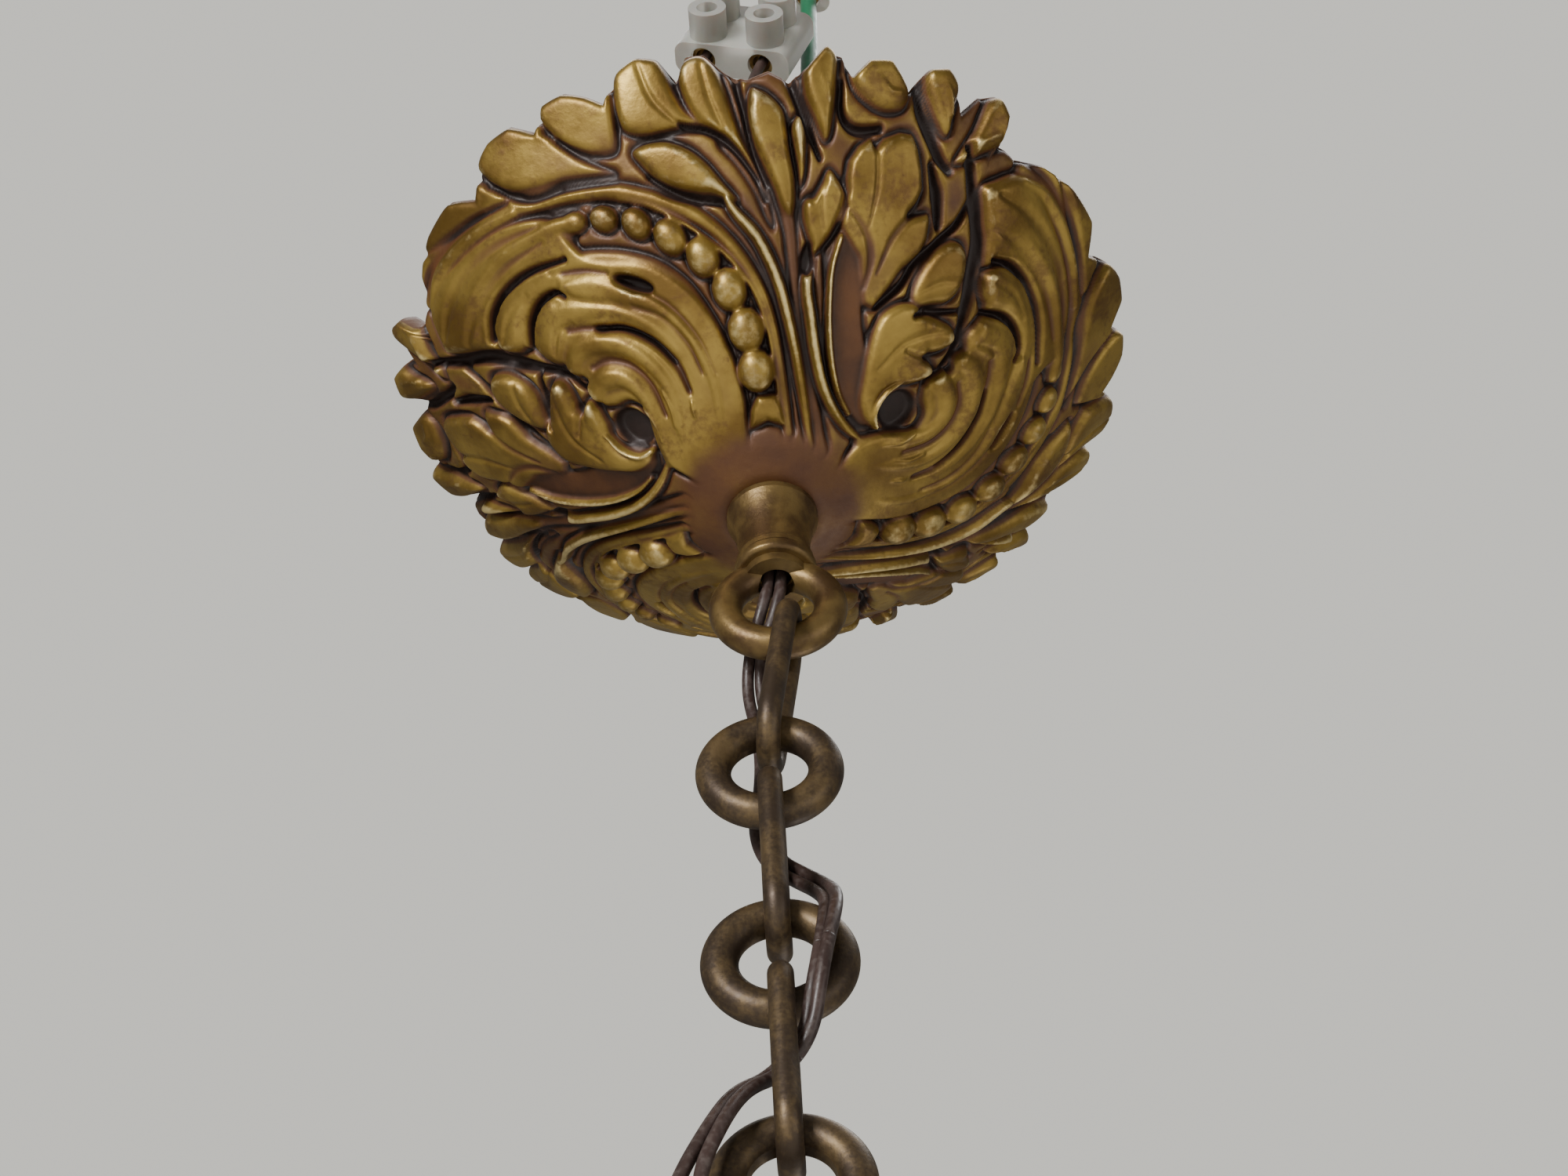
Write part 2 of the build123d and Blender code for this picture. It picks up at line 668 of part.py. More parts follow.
# Connector at the foot of the two cores
foot_end = flex_route[-1]
foot_plane = Plane(origin=(foot_end[0], foot_end[1], loop_z + foot_end[2] + wire_grip - block_length / 2))
foot_pitch = foot_end[3] * flex_spacing
connector("flex_connector", foot_plane, 2, foot_pitch, block_tower * 2 + 2, block_length)

# Connector at the top of the earth wire
earth_end = earth_route[-1]
earth_rise = (earth_end - earth_route[-2]).normalized()
earth_plane = Plane(
    origin=earth_end + earth_rise * (block_length / 2 - wire_grip),
    x_dir=(1, 0, 0),
    z_dir=earth_rise,
)
connector("earth_connector", earth_plane, 1, block_pole_pitch, single_width, block_length)
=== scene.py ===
# %% [markdown]
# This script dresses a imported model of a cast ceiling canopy, its neck, its
# chain and the flex that runs through them. Every length is in metres, in the
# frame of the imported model: the origin is the hole of the hanging eye, +Z is
# up, and the viewer stands on the -Y side and looks up.

import bpy
import math
import numpy as np
from mathutils import Matrix, Vector


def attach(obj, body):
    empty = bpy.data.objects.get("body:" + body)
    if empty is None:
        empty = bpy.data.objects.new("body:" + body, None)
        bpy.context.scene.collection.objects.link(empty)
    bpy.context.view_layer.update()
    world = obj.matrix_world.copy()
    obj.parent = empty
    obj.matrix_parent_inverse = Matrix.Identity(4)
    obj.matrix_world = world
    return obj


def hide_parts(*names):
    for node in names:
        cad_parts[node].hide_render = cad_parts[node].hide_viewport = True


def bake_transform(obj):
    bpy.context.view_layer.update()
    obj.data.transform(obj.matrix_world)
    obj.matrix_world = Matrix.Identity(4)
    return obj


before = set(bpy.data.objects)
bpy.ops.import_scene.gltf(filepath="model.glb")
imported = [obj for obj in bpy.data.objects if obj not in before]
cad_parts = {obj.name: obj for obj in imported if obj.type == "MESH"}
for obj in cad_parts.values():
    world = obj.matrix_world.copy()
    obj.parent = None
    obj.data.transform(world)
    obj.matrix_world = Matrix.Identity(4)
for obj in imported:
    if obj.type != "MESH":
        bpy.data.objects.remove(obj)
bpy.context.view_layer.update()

# %% [markdown]
# A few sizes come back again and again, so they get names first. Heights of
# the chain and the neck are counted from the centre of the suspension loop.

# %% Shared sizes
mm = 0.001
loop_z = -0.090
canopy_z = loop_z + 0.0255
flex_diameter = 0.0021
flex_spacing = 0.0023
earth_diameter = 0.0034
print("canopy base at", round(canopy_z, 4))

# %% [markdown]
# The photograph was taken from below, about 46 cm away, with the camera
# tipped up by 50 degrees and rolled a little. A camera is placed by its own
# axes: the way it looks, its right and its up.

# %% Camera
camera_rise = math.radians(50)
camera_roll = math.radians(-3.8)
camera_distance = 0.4582
camera_right = 0.00125
camera_up = 0.00353
focal_pixels = 3393
picture_width = 2000
sensor_width = 36
nearest_seen = 0.01

look = Vector((0, math.cos(camera_rise), math.sin(camera_rise)))
level_up = Vector((0, -math.sin(camera_rise), math.cos(camera_rise)))
level_right = Vector((1, 0, 0))
right = level_right * math.cos(camera_roll) + level_up * math.sin(camera_roll)
upward = level_up * math.cos(camera_roll) - level_right * math.sin(camera_roll)
aim = Vector((0, 0, loop_z)) + level_right * camera_right + level_up * camera_up
eye_place = aim - look * camera_distance

camera_data = bpy.data.cameras.new("view")
camera_data.sensor_width = sensor_width
camera_data.lens = sensor_width * focal_pixels / picture_width
camera_data.clip_start = nearest_seen
camera = bpy.data.objects.new("view", camera_data)
bpy.context.scene.collection.objects.link(camera)
turn = Matrix((right, upward, -look)).transposed().to_4x4()
camera.matrix_world = Matrix.Translation(eye_place) @ turn
bpy.context.scene.camera = camera
print("camera lens", round(camera_data.lens, 2), "at", [round(v, 3) for v in eye_place])

# %% [markdown]
# A cord can be a bevelled curve or a mesh. Here each core of the flex is one
# long line that crosses six joints, so it is swept into several short mesh
# tubes that share their end rings. The line itself is a smooth NURBS spline.

# %% Lines and tubes
route_parts = 24
route_order = 3


def smooth_route(points):
    """The points of a NURBS spline with these control points."""
    curve = bpy.data.curves.new("route", "CURVE")
    curve.dimensions = "3D"
    curve.resolution_u = route_parts
    spline = curve.splines.new("NURBS")
    spline.points.add(len(points) - 1)
    for knot, place in zip(spline.points, points):
        knot.co = (*place, 1)
    spline.order_u = route_order
    spline.use_endpoint_u = True
    holder = bpy.data.objects.new("route", curve)
    mesh = bpy.data.meshes.new_from_object(holder)
    line = [v.co.copy() for v in mesh.vertices]
    bpy.data.meshes.remove(mesh)
    bpy.data.objects.remove(holder)
    bpy.data.curves.remove(curve)
    return line


def frames_along(line):
    """A pair of cross directions at each point, carried along without twist."""
    tangents = []
    for number in range(len(line)):
        before = line[max(number - 1, 0)]
        after = line[min(number + 1, len(line) - 1)]
        tangents.append((after - before).normalized())
    side = tangents[0].orthogonal().normalized()
    pairs = []
    for tangent in tangents:
        side = (side - tangent * side.dot(tangent)).normalized()
        pairs.append((side.copy(), tangent.cross(side)))
    return pairs


def add_mesh(name, points, faces, smooth=True):
    """A mesh object from its points and faces."""
    mesh = bpy.data.meshes.new(name)
    mesh.from_pydata([tuple(p) for p in points], [], faces)
    mesh.update()
    if smooth:
        mesh.polygons.foreach_set("use_smooth", [True] * len(mesh.polygons))
    piece = bpy.data.objects.new(name, mesh)
    bpy.context.scene.collection.objects.link(piece)
    return piece


def tube_piece(name, line, pairs, radius, sides=20):
    """A closed round tube along part of a line."""
    points = []
    for place, (side, up) in zip(line, pairs):
        for number in range(sides):
            angle = 2 * math.pi * number / sides
            points.append(place + (side * math.cos(angle) + up * math.sin(angle)) * radius)
    faces = []
    for ring in range(len(line) - 1):
        for number in range(sides):
            nearby = (number + 1) % sides
            faces.append((
                ring * sides + number,
                ring * sides + nearby,
                (ring + 1) * sides + nearby,
                (ring + 1) * sides + number,
            ))
    faces.append(tuple(reversed(range(sides))))
    faces.append(tuple(range((len(line) - 1) * sides, len(line) * sides)))
    return add_mesh(name, points, faces)


def line_length(line):
    return sum((b - a).length for a, b in zip(line, line[1:]))


# %% [markdown]
# The flex is two brown cores side by side. It comes out of the terminal
# block, drops into the hanging eye, runs down the hollow stem, leaves through
# the hole in the suspension loop and is woven once round the chain. Each row
# below is the middle of the pair and the way from the middle to one core.

# %% Route of the flex
flex_rows = [
    (-0.0009, -0.0353, 0.1318, 4.9, 0.0, -1.78),
    (-0.0047, -0.0352, 0.1214, 4.9, 0.0, -1.78),
    (-0.0038, -0.0322, 0.1086, 2.6, 0.0, -0.5),
    (-0.0012, -0.0258, 0.0974, 1.2, 0.0, 0.0),
    (0.0002, -0.0180, 0.0880, 1.0, 0.0, 0.0),
    (0.0001, -0.0092, 0.0800, 1.0, 0.0, 0.0),
    (0.0, 0.0, 0.0746, 1.0, 0.0, 0.0),
    (0.0001, 0.0001, 0.0580, 1.0, 0.0, 0.0),
    (-0.0001, 0.0, 0.0410, 1.0, 0.0, 0.0),
    (0.0001, 0.0001, 0.0245, 1.0, 0.0, 0.0),
    (0.0, 0.0, 0.0080, 1.0, 0.0, 0.0),
    (-0.0017, 0.0016, 0.0014, 1.0, 0.0, -0.2),
    (-0.0044, 0.0066, -0.0034, 0.8, 0.0, -0.6),
    (-0.0052, 0.0104, -0.0096, 1.0, 0.0, -0.1),
    (-0.0039, 0.0109, -0.0180, 1.0, 0.0, 0.1),
    (-0.0033, 0.0100, -0.0270, 1.0, 0.1, 0.0),
    (-0.0039, 0.0096, -0.0360, 1.0, 0.0, 0.0),
    (-0.0052, 0.0094, -0.0445, 1.0, 0.0, 0.0),
    (-0.0034, 0.0098, -0.0510, 0.9, 0.0, 0.4),
    (0.0012, 0.0076, -0.0570, 0.8, 0.0, 0.6),
    (0.0040, 0.0036, -0.0630, 0.8, 0.0, 0.5),
    (0.0053, -0.0014, -0.0695, 0.7, -0.4, 0.4),
    (0.0050, -0.0058, -0.0765, 0.8, -0.6, 0.1),
    (0.0036, -0.0072, -0.0845, 0.6, -0.8, 0.0),
    (0.0022, -0.0072, -0.0915, 0.6, -0.8, 0.0),
    (0.0006, -0.0034, -0.0984, 0.41, -0.67, -0.62),
    (-0.0046, -0.0004, -0.1030, 0.56, -0.67, -0.49),
    (-0.0094, -0.0046, -0.1084, 0.82, -0.53, -0.19),
    (-0.0126, -0.0080, -0.1160, 0.82, -0.53, -0.19),
    (-0.0170, -0.0096, -0.1270, 1.1, -0.2, -0.2),
    (-0.0178, -0.0098, -0.1370, 3.0, 0.0, 0.2),
    (-0.0164, -0.0096, -0.1470, 3.48, 0.0, 0.0),
]
core_routes = {}
for core, side in (("a", 0.5), ("b", -0.5)):
    away = side * flex_spacing
    core_routes[core] = smooth_route([
        (x + away * dx, y + away * dy, loop_z + z + away * dz)
        for x, y, z, dx, dy, dz in flex_rows
    ])
    print("core", core, "is", round(line_length(core_routes[core]), 4), "m long")

# %% [markdown]
# The cores are cut where they pass the middle of a link or a ring, so that
# each piece crosses one joint. The ends above the canopy and below the chain
# hang free.

# %% Flex cores
# Each piece: the height above the loop's centre at which it ends, the bodies
# it runs along, the height of the joint it crosses, and the spans of the CAD it stands for
core_cuts = [
    ("top", 0.0773, ("hanger",), None, ("top",)),
    ("neck", -0.022, ("hanger", "link_1"), -0.0079, ("neck",)),
    ("first_weave", -0.0426, ("link_1", "ring_2"), -0.036, ("link_1",)),
    ("second_weave", -0.063, ("ring_2", "link_2"), -0.0492, ("ring_2",)),
    ("third_weave", -0.0836, ("link_2", "ring_3"), -0.077, ("link_2",)),
    ("fourth_weave", -0.1012, ("ring_3", "link_3"), -0.0902, ("ring_3", "link_3")),
    ("tail", -0.2, ("link_3",), None, ("tail",)),
]
blend_half = 0.005
flex_pieces = []
core_runs = {}
for core, line in core_routes.items():
    pairs = frames_along(line)
    begin = 0
    for run, low, bodies, pivot, spans in core_cuts:
        end = begin + 1
        while end < len(line) - 1 and line[end].z > loop_z + low:
            end += 1
        run_line = line[begin : end + 1]
        piece = tube_piece(f"flex_{core}_{run}_core", run_line, pairs[begin : end + 1], flex_diameter / 2)
        if pivot is None:
            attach(piece, bodies[0])
        else:
            start = (0, 0, loop_z + pivot + blend_half)
            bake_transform(piece)
        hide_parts(*[f"flex_{core}_{span}" for span in spans])
        flex_pieces.append(piece)
        core_runs[core, run] = (piece, run_line)
        print(piece.name, round(line_length(run_line), 4), "m")
        begin = end

for core in "ab":
    piece, run_line = core_runs[core, "top"]
    piece, run_line = core_runs[core, "tail"]

# %% [markdown]
# The earth wire is one stiff solid core in a green cover. It leaves its
# crimped lug on the canopy's floor and rises past the terminal block.

# %% Earth wire
lug_rise = math.radians(55)
lug_turn = Vector((0, -math.cos(lug_rise), math.sin(lug_rise)))
lug_start = Vector((0.0165, -0.0019, loop_z + 0.0383))
crimp_from = 0.002
crimp_to = 0.013
earth_sides = 28
earth_points = [
    lug_start + lug_turn * crimp_from,
    lug_start + lug_turn * crimp_to,
    Vector((0.0156, -0.0160, loop_z + 0.062)),
    Vector((0.0142, -0.0225, loop_z + 0.082)),
    Vector((0.0132, -0.0264, loop_z + 0.104)),
    Vector((0.0128, -0.0280, loop_z + 0.128)),
    Vector((0.0142, -0.0288, loop_z + 0.150)),
    Vector((0.0149, -0.0286, loop_z + 0.171)),
]
earth_line = smooth_route(earth_points)
earth_piece = tube_piece("earth_core", earth_line, frames_along(earth_line), earth_diameter / 2, earth_sides)
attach(earth_piece, "hanger")
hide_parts("earth_wire")
print("earth wire", round(line_length(earth_line), 4), "m")

# %% [markdown]
# Materials are written as sums on sockets. This class wraps one output of a
# node, and an expression such as 1 - mask adds its Math node. Colours and
# directions go through the Mix and Vector Math nodes.

# %% Shader sums
class Shade:
    """One output socket of a shader node, which can be used in sums."""

    tree = None

    def __init__(self, socket):
        self.socket = socket

    @classmethod
    def node(cls, kind, settings=None, inputs=None, output=0):
        """Add a node: its settings first, then the values or links of its sockets."""
        made = cls.tree.nodes.new(kind)
        for name, value in (settings or {}).items():
            setattr(made, name, value)
        for name, value in (inputs or {}).items():
            if isinstance(value, Shade):
                cls.tree.links.new(value.socket, made.inputs[name])
            else:
                made.inputs[name].default_value = value
        return cls(made.outputs[output])

    def sum(self, operation, first, second):
        return Shade.node("ShaderNodeMath", {"operation": operation}, {0: first, 1: second})

    def __add__(self, other):
        return self.sum("ADD", self, other)

    __radd__ = __add__

    def __sub__(self, other):
        return self.sum("SUBTRACT", self, other)

    def __rsub__(self, other):
        return self.sum("SUBTRACT", other, self)

    def __mul__(self, other):
        return self.sum("MULTIPLY", self, other)

    def between(self, low, high):
        """0 below low, 1 above high, and smooth between them."""
        settings = {"interpolation_type": "SMOOTHSTEP"}
        return Shade.node("ShaderNodeMapRange", settings, {"Value": self, "From Min": low, "From Max": high})


# The Mix node has sockets for numbers, directions and colours under the same
# names, so the ones for colours are told apart by their places
mask_socket = 0
low_colour_socket = 6
high_colour_socket = 7
mixed_colour_socket = 2


def mix_colour(mask, low, high):
    """Colour low where the mask is 0, and high where it is 1."""
    inputs = {mask_socket: mask, low_colour_socket: low, high_colour_socket: high}
    return Shade.node("ShaderNodeMix", {"data_type": "RGBA"}, inputs, output=mixed_colour_socket)


def grain(scale, detail=4.0, stretch=None):
    """Noise in the object's own space, in cells per metre."""
    place = Shade.node("ShaderNodeTexCoord", output="Object")
    if stretch:
        place = Shade.node("ShaderNodeVectorMath", {"operation": "MULTIPLY"}, {0: place, 1: stretch})
    inputs = {"Vector": place, "Scale": scale, "Detail": detail, "Roughness": 0.55}
    return Shade.node("ShaderNodeTexNoise", None, inputs, output="Fac")


def bump(height, distance, strength):
    """A surface direction tilted by a height in metres."""
    inputs = {"Height": height, "Distance": distance, "Strength": strength}
    return Shade.node("ShaderNodeBump", None, inputs)


def finish_with(name, build):
    """A material whose Principled sockets come from build(), by name."""
    material = bpy.data.materials.new(name)
    material.use_nodes = True
    Shade.tree = material.node_tree
    Shade.tree.nodes.clear()
    surface = Shade.node("ShaderNodeBsdfPrincipled", None, build())
    end = Shade.tree.nodes.new("ShaderNodeOutputMaterial")
    Shade.tree.links.new(surface.socket, end.inputs["Surface"])
    return material


# %% [markdown]
# The flex cores are brown and a little waxy, with faint streaks along them.
# Where dust has settled, the covers are paler and less glossy.

# %% Flex and earth covers
def brown_cover():
    dust = grain(900, detail=5).between(0.42, 0.72)
    streak = grain(260, stretch=(1, 1, 0.15)).between(0.3, 0.7)
    colour = mix_colour(streak, (0.030, 0.017, 0.014, 1), (0.060, 0.036, 0.030, 1))
    colour = mix_colour(dust * 0.35, colour, (0.14, 0.11, 0.095, 1))
    return {
        "Base Color": colour,
        "Roughness": 0.38 + dust * 0.25,
        "Normal": bump(grain(2600), 0.00004, 0.5),
    }


def green_cover():
    dust = grain(700, detail=5).between(0.45, 0.75)
    colour = mix_colour(dust * 0.3, (0.010, 0.16, 0.07, 1), (0.10, 0.24, 0.15, 1))
    return {
        "Base Color": colour,
        "Roughness": 0.28 + dust * 0.25,
        "Normal": bump(grain(1500), 0.00005, 0.4),
    }


flex_finish = finish_with("brown flex cover", brown_cover)
earth_finish = finish_with("green wire cover", green_cover)
for piece in flex_pieces:
    piece.data.materials.append(flex_finish)
earth_piece.data.materials.append(earth_finish)
print("covered", len(flex_pieces) + 1, "wires")

# %% [markdown]
# The canopy is a thin bowl whose whole outside is carved: three identical
# sectors of scrolling leaves, a row of beads and a rim of shells and leaf
# tips. Sculpting it by hand is one way. Here one sector is drawn as a height
# field in plan, from bands, lobes, beads and grooves, and it is laid three
# times round the bowl. Plan lengths are in millimetres, x to the right and y
# towards the viewer, seen from below.

# %% Relief tools
class Carving:
    """Heights over the plan of one sector, which tools raise or cut."""

    band_fullness = 2.5
    lobe_fullness = 2.2
    lobe_shoulder = 0.6
    lobe_margin = 0.5
    below_ground = 0.3
    ditch_steepness = 1.5
    hole_reach = 1.12
    hole_side = 0.3
    least = 1e-9

    def __init__(self, left, right, near, far, step, ground):
        self.left = left
        self.near = near
        self.step = step
        self.ground = ground
        self.x = np.arange(left, right, step)
        self.y = np.arange(near, far, step)
        self.height = np.full((len(self.y), len(self.x)), float(ground))
        self.pits = np.zeros((len(self.y), len(self.x)))

    def window(self, points, reach):
        """The part of the grid within reach of some points."""
        low = points.min(axis=0) - reach
        high = points.max(axis=0) + reach
        columns = slice(np.searchsorted(self.x, low[0]), np.searchsorted(self.x, high[0]))
        rows = slice(np.searchsorted(self.y, low[1]), np.searchsorted(self.y, high[1]))
        gx, gy = np.meshgrid(self.x[columns], self.y[rows])
        return (rows, columns), gx, gy

    def nearest(self, line, gx, gy):
        """Distance to a line, and how far along it the nearest place is, from 0 to 1."""
        runs = np.hypot(*(line[1:] - line[:-1]).T)
        reached = np.concatenate([[0], np.cumsum(runs)])
        best = np.full(gx.shape, np.inf)
        share = np.zeros(gx.shape)
        for number in range(len(runs)):
            ax, ay = line[number]
            dx, dy = line[number + 1] - line[number]
            along = ((gx - ax) * dx + (gy - ay) * dy) / max(runs[number] ** 2, self.least)
            along = np.clip(along, 0, 1)
            distance = np.hypot(gx - ax - along * dx, gy - ay - along * dy)
            closer = distance < best
            best[closer] = distance[closer]
            share[closer] = ((reached[number] + along * runs[number]) / reached[-1])[closer]
        return best, share

    def raise_to(self, place, level):
        self.height[place] = np.maximum(self.height[place], level)

    def bar(self, points, widths):
        """The places of a bar along a smooth line: how far across, with its edge at 1, and how far along."""
        line = smooth_line(points)
        place, gx, gy = self.window(line, max(widths))
        distance, share = self.nearest(line, gx, gy)
        half = np.interp(share, np.linspace(0, 1, len(widths)), widths) / 2
        return place, distance / half, share

    def oval(self, x, y, length, width, angle):
        """The places of an oval, by its long and its short axis, with its edge at 1."""
        place, gx, gy = self.window(np.array([(x, y)]), max(length, width))
        turned = math.radians(angle)
        long_way = (gx - x) * math.cos(turned) + (gy - y) * math.sin(turned)
        short_way = (gy - y) * math.cos(turned) - (gx - x) * math.sin(turned)
        return place, 2 * long_way / length, 2 * short_way / width

    def band(self, points, widths, tops):
        """A rounded bar along a smooth line."""
        place, across, share = self.bar(points, widths)
        top = np.interp(share, np.linspace(0, 1, len(tops)), tops)
        rise = (1 - np.clip(across, 0, 1) ** self.band_fullness) ** 0.5
        self.raise_to(place, self.ground + (top - self.ground) * rise)

    def groove(self, points, widths, depth):
        """A rounded channel cut along a smooth line."""
        place, across, _ = self.bar(points, widths)
        cut = depth * (1 - np.clip(across, 0, 1) ** 2)
        self.height[place] = np.maximum(self.height[place] - cut, self.ground - self.below_ground)

    def ditch(self, points, widths):
        """A deep recess along a smooth line."""
        place, across, _ = self.bar(points, widths)
        depth = np.clip(self.ditch_steepness * (1 - across), 0, 1)
        self.pits[place] = np.maximum(self.pits[place], depth)

    def lobe(self, points, levels, edge, start=None, end=None, dome=0.0, smooth=True):
        """A raised area in a closed outline, round at its edge, which may climb from start to end."""
        outline = smooth_line(points, closed=True) if smooth else np.array([*points, points[0]], float)
        place, gx, gy = self.window(outline, self.lobe_margin)
        distance, _ = self.nearest(outline, gx, gy)
        inside = np.zeros(gx.shape, bool)
        for (ax, ay), (bx, by) in zip(outline, outline[1:]):
            if ay == by:
                continue
            crosses = (ay > gy) != (by > gy)
            inside ^= crosses & (gx < ax + (gy - ay) * (bx - ax) / (by - ay))
        depth = np.where(inside, distance, 0)
        top = np.full(gx.shape, float(levels[0]))
        if start:
            way = np.array(end) - np.array(start)
            along = ((gx - start[0]) * way[0] + (gy - start[1]) * way[1]) / (way @ way)
            top += (levels[1] - levels[0]) * np.clip(along, 0, 1)
        rise = (1 - (1 - np.clip(depth / edge, 0, 1)) ** self.lobe_fullness) ** self.lobe_shoulder
        middle = max(depth.max(), self.least)
        swell = dome * np.sin(np.clip(depth / middle, 0, 1) * math.pi / 2)
        level = self.ground + (top - self.ground) * rise + swell
        self.raise_to(place, np.where(inside, level, self.ground))

    def bead(self, x, y, length, width, angle, centre):
        """A ball or an egg, half sunk, with its long axis at an angle from x."""
        place, u, v = self.oval(x, y, length, width, angle)
        inside = 1 - u**2 - v**2
        level = centre + np.sqrt(np.clip(inside, 0, 1)) * width / 2
        self.raise_to(place, np.where(inside > 0, level, self.ground))

    def hole(self, x, y, length, width, angle):
        """A pit with steep sides."""
        place, u, v = self.oval(x, y, length, width, angle)
        depth = np.clip((self.hole_reach - np.hypot(u, v)) / self.hole_side, 0, 1)
        self.pits[place] = np.maximum(self.pits[place], depth)


line_parts = 6


def smooth_line(points, closed=False):
    """A smooth curve through points, with a few short runs from each to the next."""
    places = np.array(points, float)
    if closed:
        places = np.vstack([places[-1], places, places[:2]])
    else:
        places = np.vstack([2 * places[0] - places[1], places, 2 * places[-1] - places[-2]])
    steps = np.arange(line_parts)[:, None] / line_parts
    runs = []
    for p0, p1, p2, p3 in zip(places, places[1:], places[2:], places[3:]):
        runs.append(
            p1
            + 0.5 * steps * (p2 - p0)
            + steps**2 * (p0 - 2.5 * p1 + 2 * p2 - 0.5 * p3)
            + steps**3 * (1.5 * p1 - 0.5 * p0 - 1.5 * p2 + 0.5 * p3)
        )
    return np.vstack([*runs, places[-2]])


blur_reaches = 3


def soften(field, reach):
    """A field blurred by a few cells each way. Beyond three reaches nothing is added."""
    edge = blur_reaches * reach
    cells = np.arange(-edge, edge + 1)
    weights = np.exp(-(cells**2) / (2 * reach**2))
    weights /= weights.sum()
    wide = np.pad(field, ((edge, edge), (0, 0)), mode="edge")
    field = sum(w * wide[n : n + field.shape[0]] for n, w in enumerate(weights))
    wide = np.pad(field, ((0, 0), (edge, edge)), mode="edge")
    return sum(w * wide[:, n : n + field.shape[1]] for n, w in enumerate(weights))


# %% [markdown]
# One sector is a leaf mask: an upper jaw of fingers and bands that curl over
# a round eye, and a lower jaw of three lobes under it. The broad bodies come
# first, low, so that the forms laid on them meet in narrow grooves.

# %% Low bodies
carving = Carving(left=-68, right=58, near=-8, far=74, step=0.2, ground=-3.0)
carving.lobe(
    [(-60, 17), (-58.5, 14.4), (-52, 18.2), (-46.5, 20.8), (-41, 22.8), (-34, 21.2), (-31, 19.8),
     (-29.4, 16.8), (-27, 17.2), (-24, 18.8), (-20.6, 17), (-20, 12), (-17.5, 8), (-10, 7), (-4, 12),
     (-3, 20), (-4.6, 28), (-10, 37), (-19, 41.6), (-30, 41), (-36, 44.6), (-44, 42.4), (-52, 36.4),
     (-58, 29.4), (-61.6, 22)],
    levels=(0.0, 0.0), edge=1.4,
)
carving.band(
    [(-62, 22), (-58.6, 30), (-52, 38), (-43, 44.6), (-33, 48.8), (-25, 50.4), (-16, 49.9), (-9, 47.8),
     (-3.4, 43.6), (0.4, 38.2), (2.4, 32), (3.4, 24), (4, 16)],
    widths=[3.0, 3.8, 4.0, 3.6, 3.2, 3.0, 3.0, 3.0, 2.8, 2.6, 2.4, 2.4, 2.2],
    tops=[-0.5, -0.4, -0.3, -0.3, -0.7],
)
carving.band(
    [(5.6, 52), (6.6, 46), (6.8, 40), (7.2, 32), (8.2, 24), (9.4, 17), (10, 12)],
    widths=[4.0, 2.6, 2.2, 2.2, 2.4, 2.6, 2.4], tops=[-1.2, -1.5, -1.4, -1.2],
)
carving.lobe(
    [(12.6, 44), (12.2, 34), (12.2, 26), (14, 19), (18, 13), (22, 16), (20, 24), (19, 32), (20.6, 40),
     (22, 47), (17, 48)],
    levels=(-1.5, -1.5), edge=1.0,
)
print("low bodies laid")

# %% [markdown]
# Five bands run from the eye over the top of the jaw, one inside the other.
# The grooves between them are cut once the bands and two lobes are in place.

# %% Bands of the upper jaw
carving.band(
    [(-44.4, 29.4), (-40.6, 34.4), (-36, 37.8), (-30, 40), (-24, 41), (-18, 40.5), (-13, 37.9),
     (-9.2, 33.4), (-6.8, 28), (-5.2, 22), (-4.2, 15)],
    widths=[1.6, 2.6, 3.2, 3.4, 3.4, 3.4, 3.4, 3.2, 3.0, 2.8, 2.4],
    tops=[-0.3, -0.3, -0.4, -0.5, -0.7, -0.9],
)
carving.band(
    [(-34.4, 35), (-30, 36.4), (-24.5, 36.1), (-18, 34.8), (-13, 31.6), (-9.5, 26.8), (-8.1, 21),
     (-8.3, 16), (-7.2, 11)],
    widths=[3.2, 4.4, 4.6, 4.4, 4.4, 4.2, 4.0, 3.6, 3.0], tops=[0.7, 0.6, 0.5, 0.4, 0.2, -0.4],
)
carving.band(
    [(-37.8, 24.6), (-37.4, 28.4), (-34, 31.2), (-29, 32.8), (-24, 33.2), (-18.4, 31.6), (-14.4, 28.4),
     (-11.9, 24.5), (-11, 19), (-11, 13)],
    widths=[6.4, 6.2, 4.6, 3.0, 2.4, 2.4, 2.4, 2.4, 2.4, 2.0], tops=[0.9, 0.8, 0.4, 0.1, 0.0, -0.4],
)
carving.band(
    [(-33.8, 22.7), (-32.6, 25.4), (-29, 27.5), (-25, 28.1), (-20.6, 26.7), (-17.2, 23.5), (-15.5, 19),
     (-14.9, 14), (-13.4, 9)],
    widths=[4.2, 4.6, 4.4, 4.2, 4.0, 3.9, 3.6, 3.2, 2.6], tops=[0.7, 0.9, 0.8, 0.6, 0.3, -0.5],
)
carving.band(
    [(-30.2, 19.2), (-28.5, 21.6), (-25.1, 22.9), (-21.9, 21.4), (-19.9, 18), (-19.2, 13.6), (-18, 9)],
    widths=[4.4, 4.8, 4.4, 3.9, 3.5, 3.0, 2.4], tops=[0.9, 1.2, 1.0, 0.6, 0.0, -0.5],
)
carving.lobe(
    [(-41, 25), (-40.9, 22.8), (-38.4, 21.9), (-35.8, 21.9), (-34.4, 24.8), (-33.4, 29.4), (-34.6, 32.8),
     (-37.4, 33), (-39.6, 30.8), (-40.6, 28)],
    levels=(0.5, 0.9), edge=2.2, start=(-34, 31), end=(-39, 23),
)
